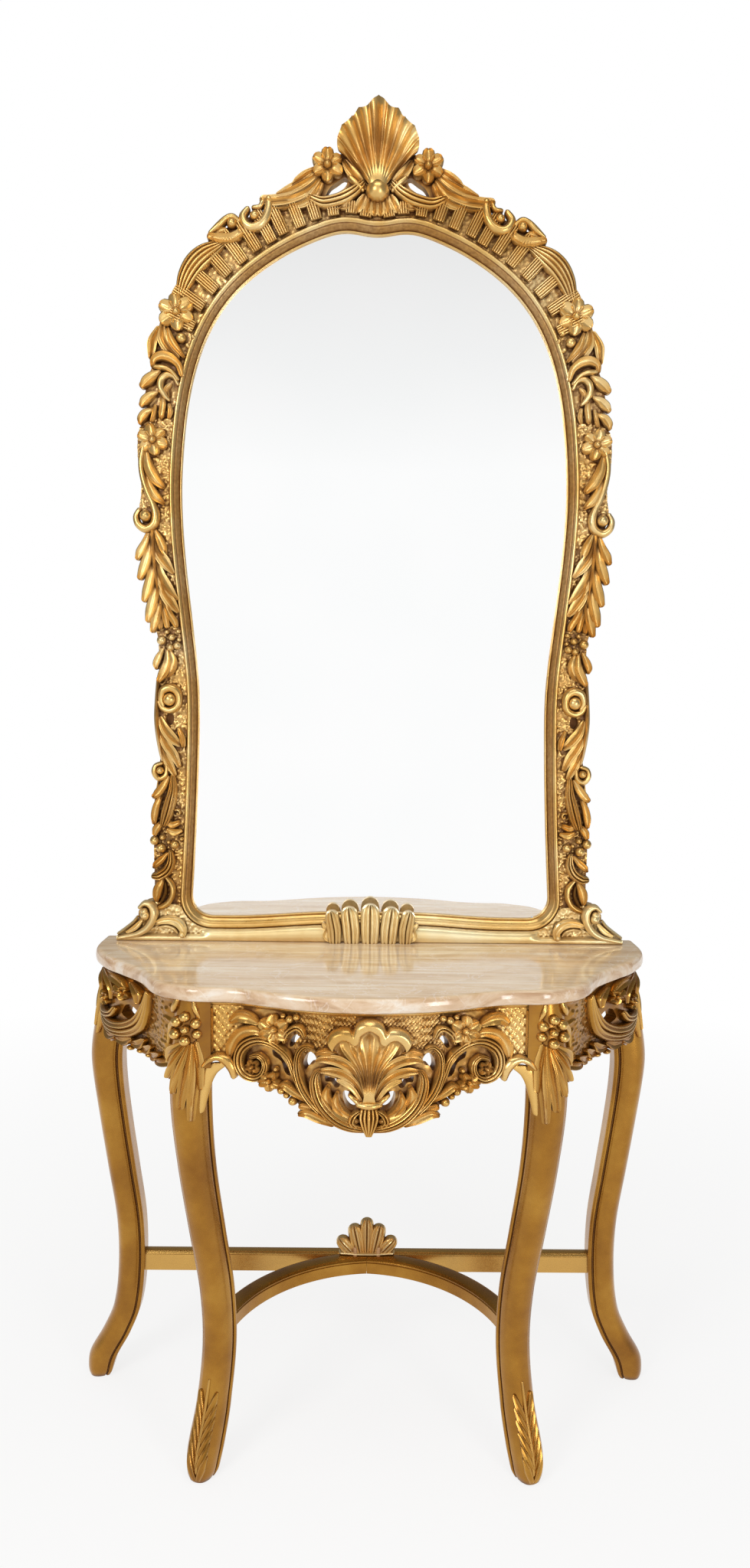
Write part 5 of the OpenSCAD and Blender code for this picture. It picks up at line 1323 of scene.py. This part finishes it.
# Stretchers: two bows spun about their centres, and a straight rail behind
bow = {"centre": (-21.97, -131.18), "radius": 264, "width": 30, "height": 27, "from": 11.2, "to": 95}
rearBar = {"half": 397, "middle": 151, "foot": 199,
    "section": [(-11, 0.4), (-10.4, 0), (10.4, 0), (11, 0.6), (11, 29), (10.4, 31.5), (8, 34.6), (5, 36),
        (-5, 36), (-8, 34.6), (-10.2, 31.5), (-10.2, 30.2), (-11, 29.6)]}
# Lobes of the small shell there: across at root and tip, height and half width
finial = [(0, 0, 55, 12), (13, 21, 43, 13), (28, 42, 22, 12.5)]


def makeBow(side, name, node):
    carving = newCarving(None)
    bm, patina = carving["bm"], carving["patina"]
    w, h = bow["width"] / 2, bow["height"]
    section = [(-w, -h), (w, -h), (w, -h * 0.3), (w - 1.2, -h * 0.26), (w - 0.4, -h * 0.16), (w - 3, -1),
        (w - 6, 0), (-w + 6, 0), (-w + 3, -1), (-w + 0.4, -h * 0.16), (-w + 1.2, -h * 0.26), (-w, -h * 0.3)]
    cx, cy = bow["centre"]
    start = math.radians(bow["from"])
    spoke = Vector((math.cos(start), math.sin(start)))
    reaches = [(bow["radius"] + a, stretcher["height"] + b) for a, b in section]
    bm.faces.new([bm.verts.new((cx + spoke.x * reach, cy + spoke.y * reach, z)) for reach, z in reaches])
    bmesh.ops.spin(bm, geom=bm.faces[:] + bm.edges[:] + bm.verts[:], cent=(cx, cy, 0), axis=(0, 0, 1), steps=48,
        angle=math.radians(bow["to"] - bow["from"]), use_merge=False)
    for at, out in (((0.2, 0, 0), (-1, 0, 0)), ((0, stretcher["front"], 0), (0, 1, 0))):
        bmesh.ops.bisect_plane(bm, geom=bm.faces[:] + bm.edges[:] + bm.verts[:], plane_co=at, plane_no=out,
            clear_outer=True)
    bmesh.ops.remove_doubles(bm, verts=bm.verts[:], dist=0.01)
    for vert in bm.verts:
        vert[patina] = 0.15
        vert.co.x *= side
    closeUp(bm, bm.verts[:])
    return finishPiece(name, carving, goldPaint, [node], 35)


for side, name, node in ((-1, "leftBow", "left_stretcher"), (1, "rightBow", "right_stretcher")):
    makeBow(side, name, node)


def makeRearStretcher():
    carving = newCarving(lambda u, v, h: Vector((u, rearBar["middle"] + v, rearBar["foot"] + h)))
    half, section = rearBar["half"], rearBar["section"]

    def shape(i, j):
        a, b = section[j % len(section)]
        return -half + 2 * half * i / 40, a, b, -0.4

    drape(carving, 40, len(section), shape)
    return finishPiece("rearStretcherRail", carving, goldPaint, ["rear_stretcher"], 35)


makeRearStretcher()


def makeStretcherShell():
    carving = newCarving(onStretcher)
    # The shell's carving is lifted toward the pale painted highlight
    carving["paintedHighlight"] = 0.5
    for u1, u2, top, w in finial:
        for side in ((1,) if u2 == 0 else (-1, 1)):
            strand(carving, [(u1, 6, w * 0.7), ((u1 + u2) / 2, (6 + top) / 2, w), (u2, top, w)], "reed", 4, 16,
                root=-1, lift=(0.85, 1), side=side)
    strand(carving, [(-46, 3, 3.5), (0, 3, 3.5), (46, 3, 3.5)], "round", 1, 15, root=0)
    return finishPiece("stretcherShellCarved", carving, goldLeaf, ["stretcher_shell"])


makeStretcherShell()
print("stretchers made")

# The plain parts keep their modelled shape and get their finish
finishes = {
    "rear_rail": beechAcross, "corner_blocks": beechAcross, "apron_dowels": beechAcross,
    "stretcher_dowels": beechAcross, "frame_dowels": beechUp, "backboard": beechUp, "left_batten": beechUp,
    "right_batten": beechUp, "corner_screws": steelFinish, "backboard_screws": steelFinish,
    "batten_screws": steelFinish}
for node, finish in finishes.items():
    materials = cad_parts[node].data.materials
    materials.clear()
    materials.append(finish)

# Floor, light and camera. A lamp: power, size, place and the point it looks at
studio = {"floor": "#F4F3F1", "world": 0.5, "room": 0.24, "lamps": {
    "keySoftbox": (38, (1, 1.3), (-1.7, -2.4, 2.2), (0, 0, 1.1)),
    "fillSoftbox": (22, (0.6, 1.3), (1.5, -2.4, 0.95), (0, 0, 0.8)),
    "topSoftbox": (14, (1.6, 0.8), (0, -0.9, 3.3), (0, 0, 1))}}


def makeFloor():
    bm = bmesh.new()
    bmesh.ops.create_grid(bm, x_segments=2, y_segments=2, size=7)
    floor = asObject(bm, "studioFloor")
    material, add, where = newMaterial("paleStudioFloor")
    rays = add("LightPath").node.outputs
    # 1 for rays that see the backdrop, 0 for those that light the object
    seen = add("Math", maths("MAXIMUM", rays["Is Camera Ray"], rays["Is Glossy Ray"]))
    seen = add("Math", maths("MAXIMUM", seen, rays["Is Transmission Ray"]))
    # near the object the floor takes its shadow, and further out it is as white as the backdrop
    away = add("VectorMath", maths("LENGTH", where), "Value")
    part = add("Math", maths("MULTIPLY", seen, add("MapRange", span(away, 0.7, 2.6, 0.8, 1))))
    pale = add("BsdfDiffuse", {"Color": studio["floor"]})
    white = add("Emission", {"Color": (1, 1, 1, 1), "Strength": 1})
    add("OutputMaterial", {"Surface": add("MixShader", {0: part, 1: pale, 2: white})})
    floor.data.materials.append(material)


def makeWorld():
    world = bpy.data.worlds.new("whiteStudio")
    world.use_nodes = True
    world.node_tree.nodes.clear()
    add = adder(world.node_tree)
    rays = add("LightPath").node.outputs
    beyond = add("Math", maths("MAXIMUM", rays["Is Camera Ray"], rays["Is Transmission Ray"]))
    split = add("SeparateXYZ", {0: add("TexCoord", out="Generated")}).node.outputs
    # the mirror faces a white wall that greys a little overhead, and the room to the sides and above is dimmer
    tone = add("MapRange", span(split["Z"], 0.16, 0.36, 1, 0.8))
    wall = add("MapRange", span(split["Y"], -0.92, -0.76, 1, studio["room"]))
    gleam = add("Math", maths("MULTIPLY", tone, wall))
    lit = add("Mix", {"data_type": "FLOAT", 0: rays["Is Glossy Ray"], 2: studio["world"], 3: gleam})
    level = add("Mix", {"data_type": "FLOAT", 0: beyond, 2: lit, 3: 1})
    add("OutputWorld", {"Surface": add("Background", {"Color": (1, 1, 1, 1), "Strength": level})})
    bpy.context.scene.world = world


def addLamp(name, power, size, place, target):
    lamp = bpy.data.lights.new(name, "AREA")
    lamp.energy, lamp.shape, lamp.size, lamp.size_y = power, "RECTANGLE", size[0], size[1]
    piece = bpy.data.objects.new(name, lamp)
    piece.location = place
    piece.rotation_euler = (Vector(target) - Vector(place)).to_track_quat("-Z", "Y").to_euler()
    bpy.context.scene.collection.objects.link(piece)


makeFloor()
makeWorld()
for name, values in studio["lamps"].items():
    addLamp(name, *values)

view = {"place": (-0.007, -1.817, 1.284), "down": math.radians(6), "yaw": 0.0066, "roll": -0.0107,
    "focal": 1500, "rows": 2048, "sensor": 24}


def makeCamera():
    down, yaw, roll = view["down"], view["yaw"], view["roll"]
    forward = Vector((math.sin(yaw) * math.cos(down), math.cos(yaw) * math.cos(down), -math.sin(down)))
    right = Vector((math.cos(yaw), -math.sin(yaw), 0))
    below = forward.cross(right)
    turnedRight = math.cos(roll) * right + math.sin(roll) * below
    turnedDown = -math.sin(roll) * right + math.cos(roll) * below
    data = bpy.data.cameras.new("photoCamera")
    data.sensor_fit, data.sensor_height = "VERTICAL", view["sensor"]
    data.lens = view["focal"] / view["rows"] * view["sensor"]
    data.clip_start, data.clip_end = 0.05, 60
    camera = bpy.data.objects.new("photoCamera", data)
    basis = Matrix((turnedRight, -turnedDown, -forward)).transposed()
    camera.matrix_world = Matrix.Translation(view["place"]) @ basis.to_4x4()
    bpy.context.scene.collection.objects.link(camera)
    bpy.context.scene.camera = camera


makeCamera()
bpy.context.scene.view_settings.view_transform = "Standard"
print("stage, lamps and camera made")
